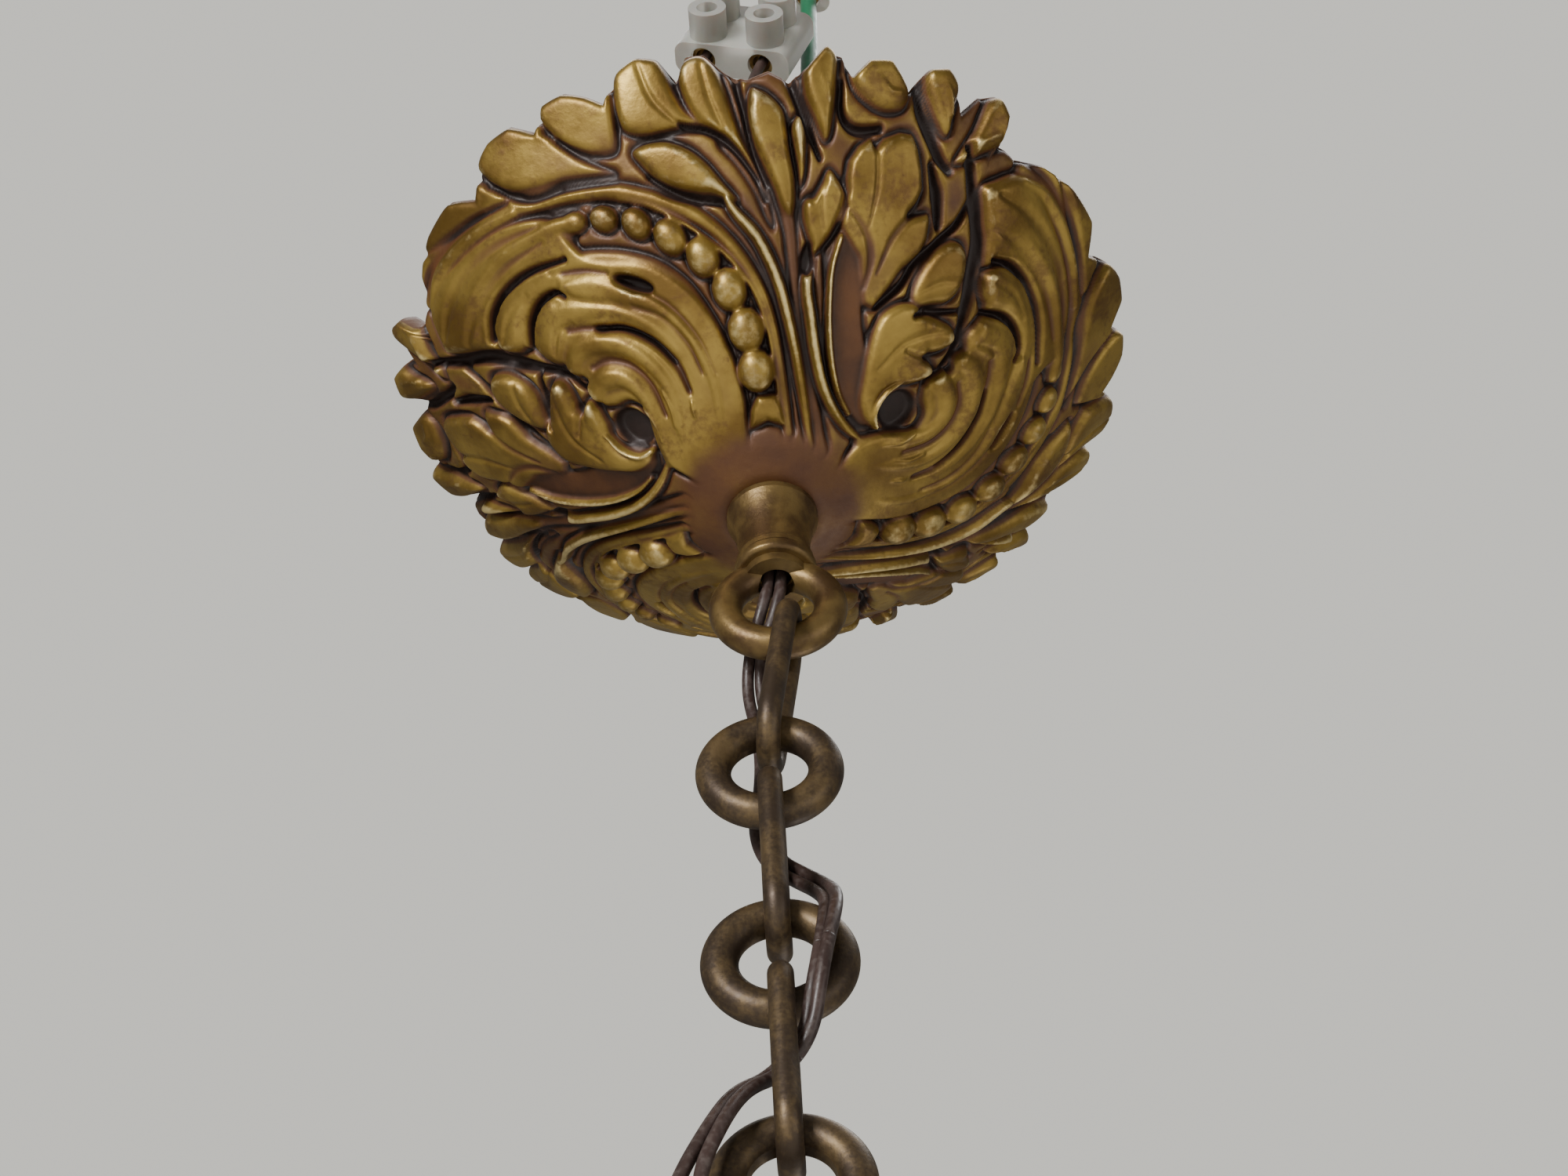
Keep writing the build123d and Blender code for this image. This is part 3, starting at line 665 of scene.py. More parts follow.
carving.lobe(
    [(-35.8, 34.8), (-34.8, 36.6), (-31.4, 37.9), (-27.4, 38.1), (-24.4, 37), (-25, 34.4), (-29, 33.4),
     (-33.2, 33.4)],
    levels=(0.5, 0.9), edge=1.8, start=(-25, 35.5), end=(-34, 35),
)
for points, widths, depth in (
    ([(-22.4, 34.6), (-17.2, 33.6), (-12.9, 30.2), (-10.6, 25.6)], [0.5, 0.9, 0.9, 0.5], 0.7),
    ([(-21, 37.4), (-15.6, 35.4), (-11, 31), (-8.2, 25.6)], [0.4, 0.8, 0.8, 0.4], 0.6),
    ([(-37, 36.4), (-30.6, 38.4), (-26.4, 38.8)], [0.8, 1.0, 0.6], 0.8),
    ([(-36.8, 23.8), (-36, 27.6), (-33.2, 29.8)], [0.5, 0.9, 0.6], 0.6),
    ([(-28.6, 29.9), (-24, 30.8), (-19, 29.5), (-15.2, 26.6), (-13.2, 22.6)],
     [1.6, 2.2, 2.2, 2.0, 1.2], 1.2),
    ([(-34.4, 28.2), (-31.6, 29.4), (-28, 30.2)], [0.8, 1.2, 1.6], 0.8),
    ([(-30.4, 23.3), (-27.2, 25.3), (-23.2, 25.2), (-19.8, 22.6), (-17.7, 18)],
     [0.9, 1.4, 1.4, 1.2, 0.8], 0.8),
):
    carving.groove(points, widths, depth)
carving.hole(-24.4, 14.1, 7.0, 6.8, 0)
for points in (
    [(-21.6, 18.5), (-19.5, 16.4), (-18.6, 13.2)],
    [(-17.9, 22.1), (-16.5, 19.4), (-16.1, 16.4)],
    [(-12.7, 20.9), (-12.4, 18.4)],
):
    carving.band(points, widths=[0.6, 1.0, 0.6], tops=[0.9, 1.0, 0.6])
print("upper jaw to", round(float(carving.height.max()), 2), "mm")

# %% [markdown]
# Under the eye lie the lobes of the lower jaw. Each climbs from its foot to
# its tip, which stands highest.

# %% Lower jaw
carving.lobe(
    [(-39.6, 12), (-41, 8.6), (-40, 5.4), (-37, 3), (-32, 3.2), (-27.6, 4.2), (-24, 5.4), (-21.2, 8.2),
     (-20.4, 12), (-22.6, 10.4), (-26, 9.4), (-28.4, 11.8), (-28.8, 14.4), (-33, 15), (-37, 15)],
    levels=(-0.1, 0.7), edge=1.8, start=(-24, 6), end=(-36, 12), dome=0.3,
)
carving.lobe(
    [(-39.8, 14.2), (-39, 18), (-37.2, 19.4), (-35.4, 18.6), (-34, 15.8), (-33.8, 12.4), (-34.6, 8.4),
     (-38, 7.6), (-40, 10)],
    levels=(0.4, 1.2), edge=2.2, start=(-36, 9), end=(-37, 18),
)
carving.lobe(
    [(-33.4, 13.4), (-32.8, 16.6), (-31.1, 17.5), (-29.4, 15.6), (-28.2, 12.2), (-28.4, 8), (-32, 7.4)],
    levels=(0.3, 1.1), edge=1.8, start=(-31, 8), end=(-31, 16),
)
carving.lobe(
    [(-51, 12.8), (-50.2, 15.2), (-47.4, 16.7), (-44, 16.8), (-41.8, 15.2), (-40.9, 12.4), (-39.9, 9.6),
     (-41, 7.6), (-44.4, 7.4), (-48, 8.6), (-50.2, 10.4)],
    levels=(0.0, 1.1), edge=2.2, start=(-42, 8), end=(-47, 16), dome=0.2,
)
carving.band(
    [(-29, 11.9), (-26.6, 9.7), (-23.4, 9.2), (-20.9, 11)],
    widths=[0.8, 1.3, 1.2, 0.8], tops=[0.8, 0.7],
)
for points, widths, depth in (
    ([(-33.6, 17.4), (-33.5, 13.6), (-33.8, 10)], [1.0, 1.1, 0.6], 1.0),
    ([(-45.4, 15.8), (-44.6, 12), (-42.6, 9)], [0.5, 1.0, 0.5], 0.4),
    ([(-38, 17), (-37, 13), (-34.6, 9), (-30, 6.4)], [0.5, 1.0, 1.0, 0.5], 0.4),
):
    carving.groove(points, widths, depth)
print("lower jaw laid")

# %% [markdown]
# The long fingers leave the jaw to the left and lie over each other. Deep
# grooves part them from the bands and from the lower jaw.

# %% Fingers of the upper jaw
carving.lobe(
    [(-58.6, 14.3), (-55.4, 15.7), (-52, 18.2), (-50.3, 20.4), (-49.9, 23.4), (-48.2, 28), (-44.6, 32.8),
     (-39.4, 37), (-33.4, 40.8), (-32.2, 44), (-37.4, 44.9), (-43.4, 42.7), (-49.6, 38.4), (-55.4, 33),
     (-60, 27), (-61.8, 21.4), (-60.4, 17)],
    levels=(-0.6, 0.7), edge=2.4, start=(-36, 43), end=(-57, 18), dome=0.5,
)
carving.lobe(
    [(-48.5, 22.9), (-47.9, 20.9), (-46.4, 20.4), (-43.9, 21.4), (-42.3, 23.5), (-41.9, 27), (-40.4, 30.8),
     (-37.4, 33.6), (-33.6, 36), (-35.6, 38.2), (-40.4, 35.2), (-44.8, 31.3), (-47.6, 27.6)],
    levels=(-0.2, 0.9), edge=2.0, start=(-36, 36), end=(-46, 22), dome=0.3,
)
carving.band(
    [(-31.4, 45.1), (-35.7, 43.5), (-42, 39.4), (-47.4, 34.8), (-51.4, 29.2), (-54.2, 23.6), (-56.4, 18)],
    widths=[2.6, 3.0, 3.2, 3.2, 3.0, 2.6, 1.6], tops=[0.4, 0.6, 0.8, 0.9, 0.8],
)
carving.band(
    [(-43, 43.8), (-49, 39.8), (-55, 34), (-59, 28), (-60.4, 22.4)],
    widths=[1.4, 2.0, 2.2, 2.2, 1.6], tops=[0.1, 0.6, 0.8, 0.8],
)
for points, widths, depth in (
    ([(-48, 20.8), (-49.2, 24.4), (-47.8, 28.6), (-44.6, 32.6), (-40.2, 36.2), (-34, 39.4)],
     [1.0, 1.5, 1.5, 1.4, 1.3, 0.8], 2.2),
    ([(-41.7, 23.2), (-41.4, 27.6), (-39.7, 31.2), (-36.7, 33.7), (-34.6, 33.7)],
     [1.2, 1.5, 1.5, 1.3, 0.8], 2.4),
    ([(-38.5, 43.1), (-46, 38.6), (-52.4, 32.2), (-56.4, 24.6), (-58, 18)], [0.8, 2.0, 2.2, 2.0, 0.8], 0.6),
    ([(-38, 40.9), (-44.4, 36.2), (-49.2, 30.2), (-52.2, 24), (-53.6, 19)],
     [0.8, 1.8, 2.1, 1.9, 0.8], 0.55),
    ([(-46.2, 22.6), (-44.8, 27.6), (-41.4, 32)], [0.6, 1.0, 0.6], 0.5),
    ([(-64, 10.4), (-57, 14.3), (-51.4, 17.3), (-46, 19.3), (-41, 20.4), (-36.4, 20.4), (-32.4, 19.2),
     (-30.2, 16.6)], [2.0, 2.4, 2.2, 2.2, 2.2, 1.8, 1.2, 0.8], 3.6),
    ([(-42, 17), (-40.8, 13.6), (-39, 9.4)], [1.0, 1.3, 0.8], 2.8),
    ([(-50.8, 11.4), (-49.4, 9.4), (-47.4, 8.6)], [0.9, 1.2, 0.6], 1.8),
):
    carving.groove(points, widths, depth)
print("fingers laid")

# %% [markdown]
# A row of beads follows the jaw, and grows smaller as it goes. Beyond it thin
# stems fan out from the hub towards the rim.

# %% Beads and stems
beads = [
    (-1.1, 26.1, 6.5, 6.2, 100), (-2.4, 32.2, 6.5, 6.2, 105), (-4.9, 38.1, 6.2, 5.8, 120),
    (-9.2, 42.6, 5.9, 5.4, 145), (-14.8, 45.1, 5.9, 4.8, 162), (-20.7, 46.5, 5.3, 4.3, 175),
    (-26.6, 46.4, 5.0, 3.6, 12), (-32.2, 44.9, 5.0, 2.8, 24),
]
bead_swell = 1.07
bead_centre = -1.1
for x, y, length, width, angle in beads:
    carving.bead(x, y, length * bead_swell, width * bead_swell, angle, bead_centre)
carving.lobe(
    [(-3.4, 16.4), (0.4, 17.8), (4, 16.6), (3.4, 20.4), (2.2, 22.6), (-1.4, 22.6), (-3, 20)],
    levels=(0.2, 0.5), edge=1.4, start=(0, 17), end=(0, 22), smooth=False,
)
carving.band(
    [(-24, 49.4), (-18.2, 49), (-12.9, 47.4), (-8, 45), (-3.8, 41.8), (-0.4, 37.4), (1.4, 32), (2.2, 26),
     (2.8, 19)],
    widths=[0.5, 0.8, 0.9, 0.9, 0.9, 0.9, 0.9, 0.8, 0.6], tops=[-0.2, 0.1, 0.2, 0.0, -0.4],
)
carving.band(
    [(-4.2, 50.3), (-2.6, 48.4), (0.4, 45.5), (2.5, 42), (4.1, 38), (5.3, 33), (6.3, 27), (7.2, 20),
     (7.8, 13)],
    widths=[1.6, 2.2, 2.4, 2.3, 2.2, 2.2, 2.2, 2.0, 1.6], tops=[0.9, 1.0, 0.8, 0.4, -0.2, -0.8],
)
carving.band(
    [(10.2, 42.4), (8.9, 38), (9.2, 33), (9.6, 28), (10.5, 23), (12.2, 18.5), (14.5, 14.6), (17.4, 11)],
    widths=[1.6, 2.2, 2.3, 2.3, 2.2, 2.0, 1.8, 1.2], tops=[0.6, 0.8, 0.9, 0.7, 0.0, -0.8],
)
carving.band(
    [(15.6, 43.6), (13.6, 39.6), (12.7, 35), (12.3, 30), (12.5, 25), (13.4, 20.5), (15.2, 16.4)],
    widths=[0.9, 1.1, 1.2, 1.2, 1.2, 1.1, 0.8], tops=[0.3, 0.6, 0.7, 0.5, -0.4],
)
print("beads", len(beads))

# %% [markdown]
# To the right of the stems stands a leaf with a ragged outline, which isn't
# smoothed, and a bud beside it. Two narrow holes go in last: one beside the
# bud and one in the upper jaw.

# %% Palmette
carving.lobe(
    [(20.6, 31.6), (18.6, 33), (18.3, 36), (18.2, 40), (16, 44), (14.6, 46), (16.8, 49.8), (16.9, 51.4),
     (17.6, 53.6), (19.6, 55.2), (22.2, 55.8), (22.9, 54.5), (24.6, 55.3), (27.6, 55.4), (29.9, 54.5),
     (30.7, 52.4), (31.1, 49.4), (31.1, 46.6), (29.9, 45), (28.2, 43.9), (32, 43.3), (32.1, 41.8),
     (31.5, 39.4), (29.8, 37.4), (26.6, 36.3), (23.5, 33.8)],
    levels=(-0.7, 0.9), edge=1.6, start=(18, 36), end=(27, 52), smooth=False,
)
carving.lobe(
    [(14.2, 53.1), (12.6, 51.4), (11.1, 49.9), (10.2, 49.9), (9, 49.2), (8.8, 46.8), (9.6, 44), (11, 41.8),
     (13.6, 43.8), (16, 46.8), (17, 49.2), (15.8, 51.6)],
    levels=(-0.2, 0.9), edge=1.6, start=(12, 43), end=(13, 52),
)
for points, widths, depth in (
    ([(17, 47.6), (20, 43.6), (20.6, 39.4), (19.2, 35.6)], [0.8, 1.8, 2.0, 1.0], 0.6),
    ([(21.4, 37), (24.6, 41.4), (28.4, 43.8)], [0.6, 1.6, 1.6], 0.5),
    ([(20.6, 44), (22.4, 49), (22.9, 54)], [0.5, 1.4, 1.4], 0.5),
    ([(12.6, 45), (12.4, 48.4), (13.4, 51.4)], [0.5, 0.8, 0.5], 0.5),
    ([(10.9, 41.8), (13.6, 43.4), (16.2, 46.2), (17.2, 49.4)], [0.8, 0.9, 0.9, 0.6], 1.1),
):
    carving.groove(points, widths, depth)
carving.hole(9.3, 41.3, 4.6, 2.3, 82)
carving.hole(-21.9, 37.9, 6.8, 2.0, -6)
print("palmette laid")

# %% [markdown]
# Leaves and shells end the sector. The grooves part the leaves, and the
# shells come after them, so no groove cuts a shell.

# %% Leaves and shells of the rim
carving.lobe(
    [(-23.7, 62.6), (-23.4, 65.6), (-21.6, 67.2), (-18, 68.6), (-15, 68.4), (-13.4, 66.6), (-12.2, 64.4),
     (-10, 62), (-6, 59.8), (-10.6, 58.6), (-14, 58.4), (-18, 57.8), (-21, 57.8), (-22.8, 59.2)],
    levels=(-0.4, 0.8), edge=2.0, start=(-9, 60), end=(-19, 66), dome=0.4,
)
carving.lobe(
    [(-11.8, 65), (-11, 67.6), (-8, 68.8), (-5.3, 67.8), (-3.3, 65), (-2, 61.8), (-0.4, 57.8), (1.6, 54.2),
     (3.2, 50.6), (4, 46), (2.4, 47.6), (0.6, 51.4), (-2.6, 55.4), (-6.4, 58.4), (-10, 61.4)],
    levels=(-1.0, 0.9), edge=1.7, start=(2, 50), end=(-8, 66), dome=0.3,
)
carving.lobe(
    [(-21, 56), (-18.6, 57.4), (-14.6, 58), (-10.6, 57.2), (-7.4, 55.4), (-4.6, 52.8), (-2, 50.2),
     (-4.2, 50.2), (-6.6, 50.9), (-9.6, 51.1), (-13.2, 51.5), (-16.7, 52.5), (-19.6, 54.4)],
    levels=(0.4, 1.1), edge=1.6, start=(-16, 53), end=(-12, 57), dome=0.3,
)
carving.lobe(
    [(-37.4, 58), (-36.8, 60.6), (-33, 62.2), (-28, 63.4), (-24, 63.4), (-23.2, 59), (-23.6, 55.6),
     (-28, 54.6), (-33, 55), (-36, 56.4)],
    levels=(-0.7, 0.8), edge=1.4, start=(-28, 54.5), end=(-31, 61),
)
carving.lobe(
    [(-49.6, 48), (-49.2, 50.8), (-46, 54.2), (-42, 56.6), (-38, 57.6), (-34, 55.6), (-29, 54), (-23, 53),
     (-27, 52), (-33, 50.4), (-38.6, 48), (-43, 46.5), (-47, 46.6)],
    levels=(-0.7, 0.7), edge=1.4, start=(-34, 50), end=(-43, 54.5),
)
carving.lobe(
    [(-64.4, 26), (-62.8, 31), (-60.2, 36.6), (-56.4, 41.4), (-51.4, 46), (-45.8, 46.6), (-40, 46),
     (-45, 43.6), (-51, 39.4), (-56, 34.6), (-60.6, 28.6), (-63, 22.6), (-65, 22)],
    levels=(-0.3, 0.7), edge=1.5, start=(-52, 38), end=(-58, 41),
)
for points in (
    [(-36.6, 57.8), (-34, 59), (-29.5, 60), (-24.8, 60.3)],
    [(-48.4, 48.2), (-46, 50.9), (-42, 53.7), (-38, 55.1), (-34.6, 55.7)],
    [(-60, 33.4), (-58, 38), (-54, 41.7), (-49.6, 44)],
):
    carving.band(points, widths=[0.8, 1.0, 1.0, 0.6], tops=[0.5, 0.6, 0.2])
for points, widths, depth in (
    ([(-22.8, 58.2), (-18, 57.9), (-10.2, 59.2), (-4, 58), (0.2, 54.2), (2.6, 50)],
     [0.8, 0.7, 1.5, 1.7, 1.5, 0.8], 2.0),
    ([(-20.6, 53.4), (-14, 50.9), (-8, 50.3), (-4.8, 49.4)], [1.0, 1.5, 1.5, 1.2], 2.2),
    ([(-62.6, 29.4), (-57, 35), (-51, 40.4), (-44.4, 45)], [0.9, 1.2, 1.2, 0.8], 1.2),
    ([(-48, 46.2), (-41, 46.2), (-33, 49.6), (-24, 52)], [1.0, 1.6, 1.6, 1.2], 2.0),
    ([(-36.6, 56.2), (-30, 54.4), (-24, 54.2)], [1.0, 1.2, 1.0], 1.4),
    ([(-18.6, 66.8), (-16.4, 62.8), (-12.6, 60.2)], [0.6, 1.1, 0.6], 0.6),
    ([(-7.4, 67), (-6, 62.6), (-3, 57.4)], [0.6, 1.0, 0.6], 0.5),
):
    carving.groove(points, widths, depth)
for outline, start, end in (
    ([(0.9, 64.4), (0.1, 61), (0.4, 58.8), (1.3, 56.6), (2.6, 54.2), (3.8, 51.6), (5, 48.6), (6.8, 47.2),
     (8.1, 49), (8.3, 52.4), (7.7, 56), (7.5, 58.8), (6.9, 61.4), (4.8, 63.4), (2.6, 64.4)],
     (6, 49), (3, 62)),
    ([(7.7, 58.4), (8.5, 60), (10, 60.7), (10.7, 58.4), (10.4, 55), (9.8, 52.2), (8.6, 50.8), (8.5, 54)],
     (9, 52), (9, 60)),
    ([(10.4, 66.8), (10.5, 63), (12, 59.6), (13.6, 56.4), (15, 57), (16, 60), (16.9, 64), (17.2, 67),
     (15, 69.2), (12.2, 69.4)], (14, 57), (13.5, 67)),
    ([(19, 65.6), (19.2, 62.8), (21.2, 60.4), (24.4, 58.3), (27.6, 57.6), (29.4, 58.4), (30.2, 60.4),
     (29, 63.6), (26, 66), (22.4, 67.2)], (27, 58), (23, 65)),
    ([(32.6, 62.6), (32.4, 59.4), (33.6, 56), (35.4, 52.4), (37, 52.6), (37.9, 55), (39.4, 57.8),
     (39.2, 60.6), (36.8, 62.8), (34.4, 64)], (36, 53), (36, 62)),
    ([(36.9, 48.4), (39, 47.6), (42, 47.7), (46, 47.3), (49.4, 47.6), (50.2, 49.6), (49.2, 52.4),
     (46.6, 54.6), (44, 54.6), (41, 51.6), (38.4, 49.8)], (38, 48.4), (47, 52)),
):
    carving.lobe(outline, levels=(0.0, 1.1), edge=1.7, start=start, end=end, dome=0.3)
for points in (
    [(12.4, 66.6), (14, 64.4), (15, 61)],
    [(23, 63.8), (25.6, 60.6), (28, 59.8)],
    [(35, 60.6), (36.6, 57.4), (37, 54.6)],
    [(40.6, 49.6), (44.4, 49.4), (48, 49)],
):
    carving.band(points, widths=[0.6, 1.0, 0.6], tops=[1.2, 1.5, 1.1])
print("one sector up to", round(float(carving.height.max()), 2), "mm")

# %% [markdown]
# The deep places of the casting, sunk low and painted near black as shade: the
# long diagonal under the fingers, the cleft beside the palmette, and the gaps between rim shells.

# %% Deep recesses
for points, widths in (
    ([(-63, 10), (-57, 13.8), (-51.8, 17.2), (-46, 18.8), (-41, 19.8), (-36.4, 20.4), (-32.6, 19)],
     [1.6, 2.4, 2.8, 3.4, 3.2, 1.8, 1.0]),
    ([(-41.4, 19), (-40.7, 15.6), (-40.2, 12)], [0.8, 1.3, 0.7]),
    ([(-56.4, 13.4), (-53, 12.2), (-50.6, 10), (-46.4, 6.8), (-42.6, 5.4), (-38.4, 2.4)],
     [1.6, 1.8, 1.5, 1.7, 1.9, 1.0]),
    ([(33.6, 40.6), (33.6, 45), (33, 49.6)], [1.6, 2.8, 1.4]),
    ([(-1.9, 66.9), (-0.6, 62.4), (1, 56.4), (3, 52)], [2.6, 1.5, 0.9, 0.5]),
    ([(8.4, 64.8), (9.6, 62), (11.6, 57.4), (12.8, 54.4)], [2.2, 1.9, 1.7, 0.8]),
    ([(17.6, 63.6), (17.2, 59.6), (19.4, 57.2), (24, 56.4)], [0.9, 1.6, 2.0, 1.6]),
    ([(31.3, 61.6), (31.5, 57.4), (33.2, 53.4), (34.6, 50), (36.4, 47.4)], [1.2, 2.0, 2.6, 2.2, 1.2]),
    ([(-41.6, 23.4), (-41.2, 27.6), (-39.5, 31.2), (-36.5, 33.8)], [0.6, 0.8, 0.8, 0.5]),
    ([(-49.4, 21.4), (-49, 25), (-46.8, 30)], [0.9, 1.0, 0.5]),
    ([(-29.4, 29.8), (-24.4, 30.8), (-19.4, 29.7), (-15.4, 26.8)], [0.5, 0.9, 0.9, 0.5]),
    ([(-18.4, 53), (-12, 50.8), (-5, 49.9)], [0.5, 1.1, 0.9]),
    ([(-12, 60), (-6, 59.1), (-1.9, 56.6), (1.6, 52.6)], [0.5, 1.1, 1.0, 0.5]),
):
    carving.ditch(points, widths)
print("deep places", round(float(carving.pits.mean()) * 100, 1), "percent of the sector's plan")

# %% [markdown]
# The three sectors come together in one plan. Between the forms the casting
# is not empty: the ground lies only a little lower, with a narrow trench
# round each form where the chaser's tool went. Blurring a map of the forms
# gives the trench, and its reach is counted in cells of the grid.

# %% Whole plan
plan_reach = 74.0
plan_step = 0.2
fill_level = -0.9
trench_level = -2.6
pit_level = -3.3
sector_count = 3
form_rise = 0.6
trench_reach = 2
trench_gain = 2
last_softening = 1
# A place read between cells stops just short of the last one
short_of_last = 1.001


def look_up(field, left, near, step, x, y):
    """A field read between its cells, at plan points."""
    column = np.clip((x - left) / step, 0, field.shape[1] - short_of_last)
    row = np.clip((y - near) / step, 0, field.shape[0] - short_of_last)
    c0 = column.astype(int)
    r0 = row.astype(int)
    fc = column - c0
    fr = row - r0
    return (
        field[r0, c0] * (1 - fc) * (1 - fr)
        + field[r0, c0 + 1] * fc * (1 - fr)
        + field[r0 + 1, c0] * (1 - fc) * fr
        + field[r0 + 1, c0 + 1] * fc * fr
    )


def all_sectors(field, empty):
    """The highest of the three sectors over the whole plan."""
    levels = []
    for number in range(sector_count):
        turned = 2 * math.pi * number / sector_count
        x = plan_x * math.cos(turned) - plan_y * math.sin(turned)
        y = plan_x * math.sin(turned) + plan_y * math.cos(turned)
        inside = (x > carving.left) & (x < carving.x[-1]) & (y > carving.near) & (y < carving.y[-1])
        values = look_up(field, carving.left, carving.near, carving.step, x, y)
        levels.append(np.where(inside, values, empty))
    return np.max(levels, axis=0)


across = np.arange(-plan_reach, plan_reach, plan_step)
plan_x, plan_y = np.meshgrid(across, across)
forms = all_sectors(carving.height, carving.ground)
pits = all_sectors(carving.pits, 0)
is_form = (forms > carving.ground + form_rise).astype(float)
crowded = np.clip(soften(is_form, trench_reach) * trench_gain, 0, 1)
filled = fill_level + (trench_level - fill_level) * crowded
plan_height = np.maximum(forms, filled)
plan_height = soften(plan_height * (1 - pits) + pit_level * pits, last_softening)
print("plan from", round(float(plan_height.min()), 2), "to", round(float(plan_height.max()), 2), "mm")

# %% [markdown]
# The bowl itself is turned: one arc swept round the axis. The rim is not a
# circle, because each shell and leaf tip ends in a lobe of its own.

# %% Profile and rim of the bowl
flat_radius = 9.5
mid_radius = 42.0
mid_rise = 19.5
edge_radius = 70.0
bowl_depth = 48.5
wall = 3.2
reach_radius = 74.0
rim_steepening = math.radians(12)
mid_slope = math.atan2(bowl_depth, edge_radius - flat_radius)
end_slope = mid_slope + rim_steepening
reach_rise = bowl_depth + (reach_radius - edge_radius) * math.tan(end_slope)


def circle_through(a, b, c):
    """Centre and radius of the circle through three points of a plane."""
    bx, by = b[0] - a[0], b[1] - a[1]
    cx, cy = c[0] - a[0], c[1] - a[1]
    scale = 2 * (bx * cy - by * cx)
    ux = (cy * (bx**2 + by**2) - by * (cx**2 + cy**2)) / scale
    uy = (bx * (cx**2 + cy**2) - cx * (bx**2 + by**2)) / scale
    return a[0] + ux, a[1] + uy, math.hypot(ux, uy)


arc_x, arc_y, arc_radius = circle_through(
    (flat_radius, 0), (mid_radius, mid_rise), (reach_radius, reach_rise)
)


def bowl_section(radius):
    """Height of the bowl and its outward direction at a radius, in millimetres."""
    rise = arc_y - np.sqrt(arc_radius**2 - (radius - arc_x) ** 2)
    lean = (radius - arc_x) / arc_radius
    drop = (rise - arc_y) / arc_radius
    flat = radius < flat_radius
    return np.where(flat, 0, rise), np.where(flat, 0, lean), np.where(flat, -1, drop)


# Rim of one sector: azimuth in degrees from the viewer's side, and radius
rim_points = [
    (-76.5, 66.6), (-72, 66.4), (-67, 68.2), (-60.5, 69.4), (-54, 69.4), (-49.5, 66.6), (-46, 69.2),
    (-42, 70.5), (-38, 70.2), (-34.6, 67.6), (-31.5, 69.8), (-28, 69.9), (-24.6, 68.0), (-22.4, 66.4),
    (-19.6, 69.2), (-16, 70.4), (-12.8, 69.4), (-10.6, 66.4), (-8.6, 69.2), (-5.8, 69.0), (-2.8, 66.4),
    (0.5, 65.4), (4, 66.4), (7.2, 65.2), (10, 66.8), (12.6, 69.6), (15.4, 68.8), (17.2, 66.4),
    (19.4, 68.8), (22.6, 69.6), (25.6, 67.6), (26.8, 66.8), (28.8, 70.0), (31.4, 71.0), (34.4, 69.6),
    (35.9, 67.0), (38, 70.0), (40.5, 71.2), (42.8, 69.8),
]
rim_azimuth = np.radians([a for a, _ in rim_points])
rim_radius = np.array([r for _, r in rim_points])


def rim_at(azimuth):
    """The rim's radius at an azimuth, the same in each sector."""
    turn = 2 * math.pi / sector_count
    return np.interp(azimuth, rim_azimuth, rim_radius, period=turn)


print("rim from", rim_radius.min(), "to", rim_radius.max(), "mm")

# %% [markdown]
# Now the height field is laid round the bowl. Each point of the mesh moves
# along the bowl's own outward direction, so a steep side stays square to the
# bowl. Two numbers are kept at each point for the finish: how high it is, and
# how sharply it stands out from what is round it.

# %% Canopy mesh
spokes = 1080
hole_radius = 4.4
edge_ring = 71.4
hub_rings = np.linspace(hole_radius, 15.6, 15)
carved_rings = np.linspace(16.0, edge_ring, 170)
inner_count = 36
inner_from = 14
inner_extra = 0.6
carved_from = 14.0
carved_full = 19.0
spread_from = 50
spread_power = 1.5
rim_round = 1.3
lip_steps = 7
lip_swell = 0.5
lip_lift = 0.6
crest_level = 1.9
crest_reach = 5
crest_gain = 0.6
hub_dulling = 0.2
inside_level = 0.35
inside_crest = 0.5


def lobed(radius, azimuth):
    """Radii of rings, drawn towards the lobes of the rim, most of all at the edge."""
    outward = np.clip((radius - spread_from) / (edge_ring - spread_from), 0, 1) ** spread_power
    return radius * (1 + outward * (rim_at(azimuth) / edge_ring - 1))


def around(radius, azimuth, rise):
    """Points from a radius, an azimuth counted from the viewer's side, and a height."""
    return np.stack([radius * np.sin(azimuth), -radius * np.cos(azimuth), rise], axis=-1)


def plan_at(field):
    """A field of the whole plan at the points of the outside."""
    return look_up(field, -plan_reach, -plan_reach, plan_step, field_x, field_y)


azimuth = np.arange(spokes) * 2 * math.pi / spokes
plain_rings = np.concatenate([hub_rings, carved_rings])
ring_grid, azimuth_grid = np.meshgrid(plain_rings, azimuth, indexing="ij")
ring_grid = lobed(ring_grid, azimuth_grid)
field_x = ring_grid * np.sin(azimuth_grid)
field_y = ring_grid * np.cos(azimuth_grid)

join = np.clip((ring_grid - carved_from) / (carved_full - carved_from), 0, 1)
join = join**2 * (3 - 2 * join)
height = plan_at(plan_height) * join
to_rim = np.clip(1 - (rim_at(azimuth_grid) - ring_grid) / rim_round, 0, 1)
height = height - (1 - np.sqrt(1 - to_rim**2)) * rim_round

sharpness = plan_at(plan_height - soften(plan_height, crest_reach)) * join * crest_gain
crest = np.clip(sharpness, -1, 1) * 0.5 + 0.5
level = (height - pit_level) / (crest_level - pit_level) - (1 - join) * hub_dulling
level = np.clip(level, 0, 1)
rise, lean, drop = bowl_section(ring_grid)
outer = around(ring_grid + lean * height, azimuth_grid, rise + drop * height)

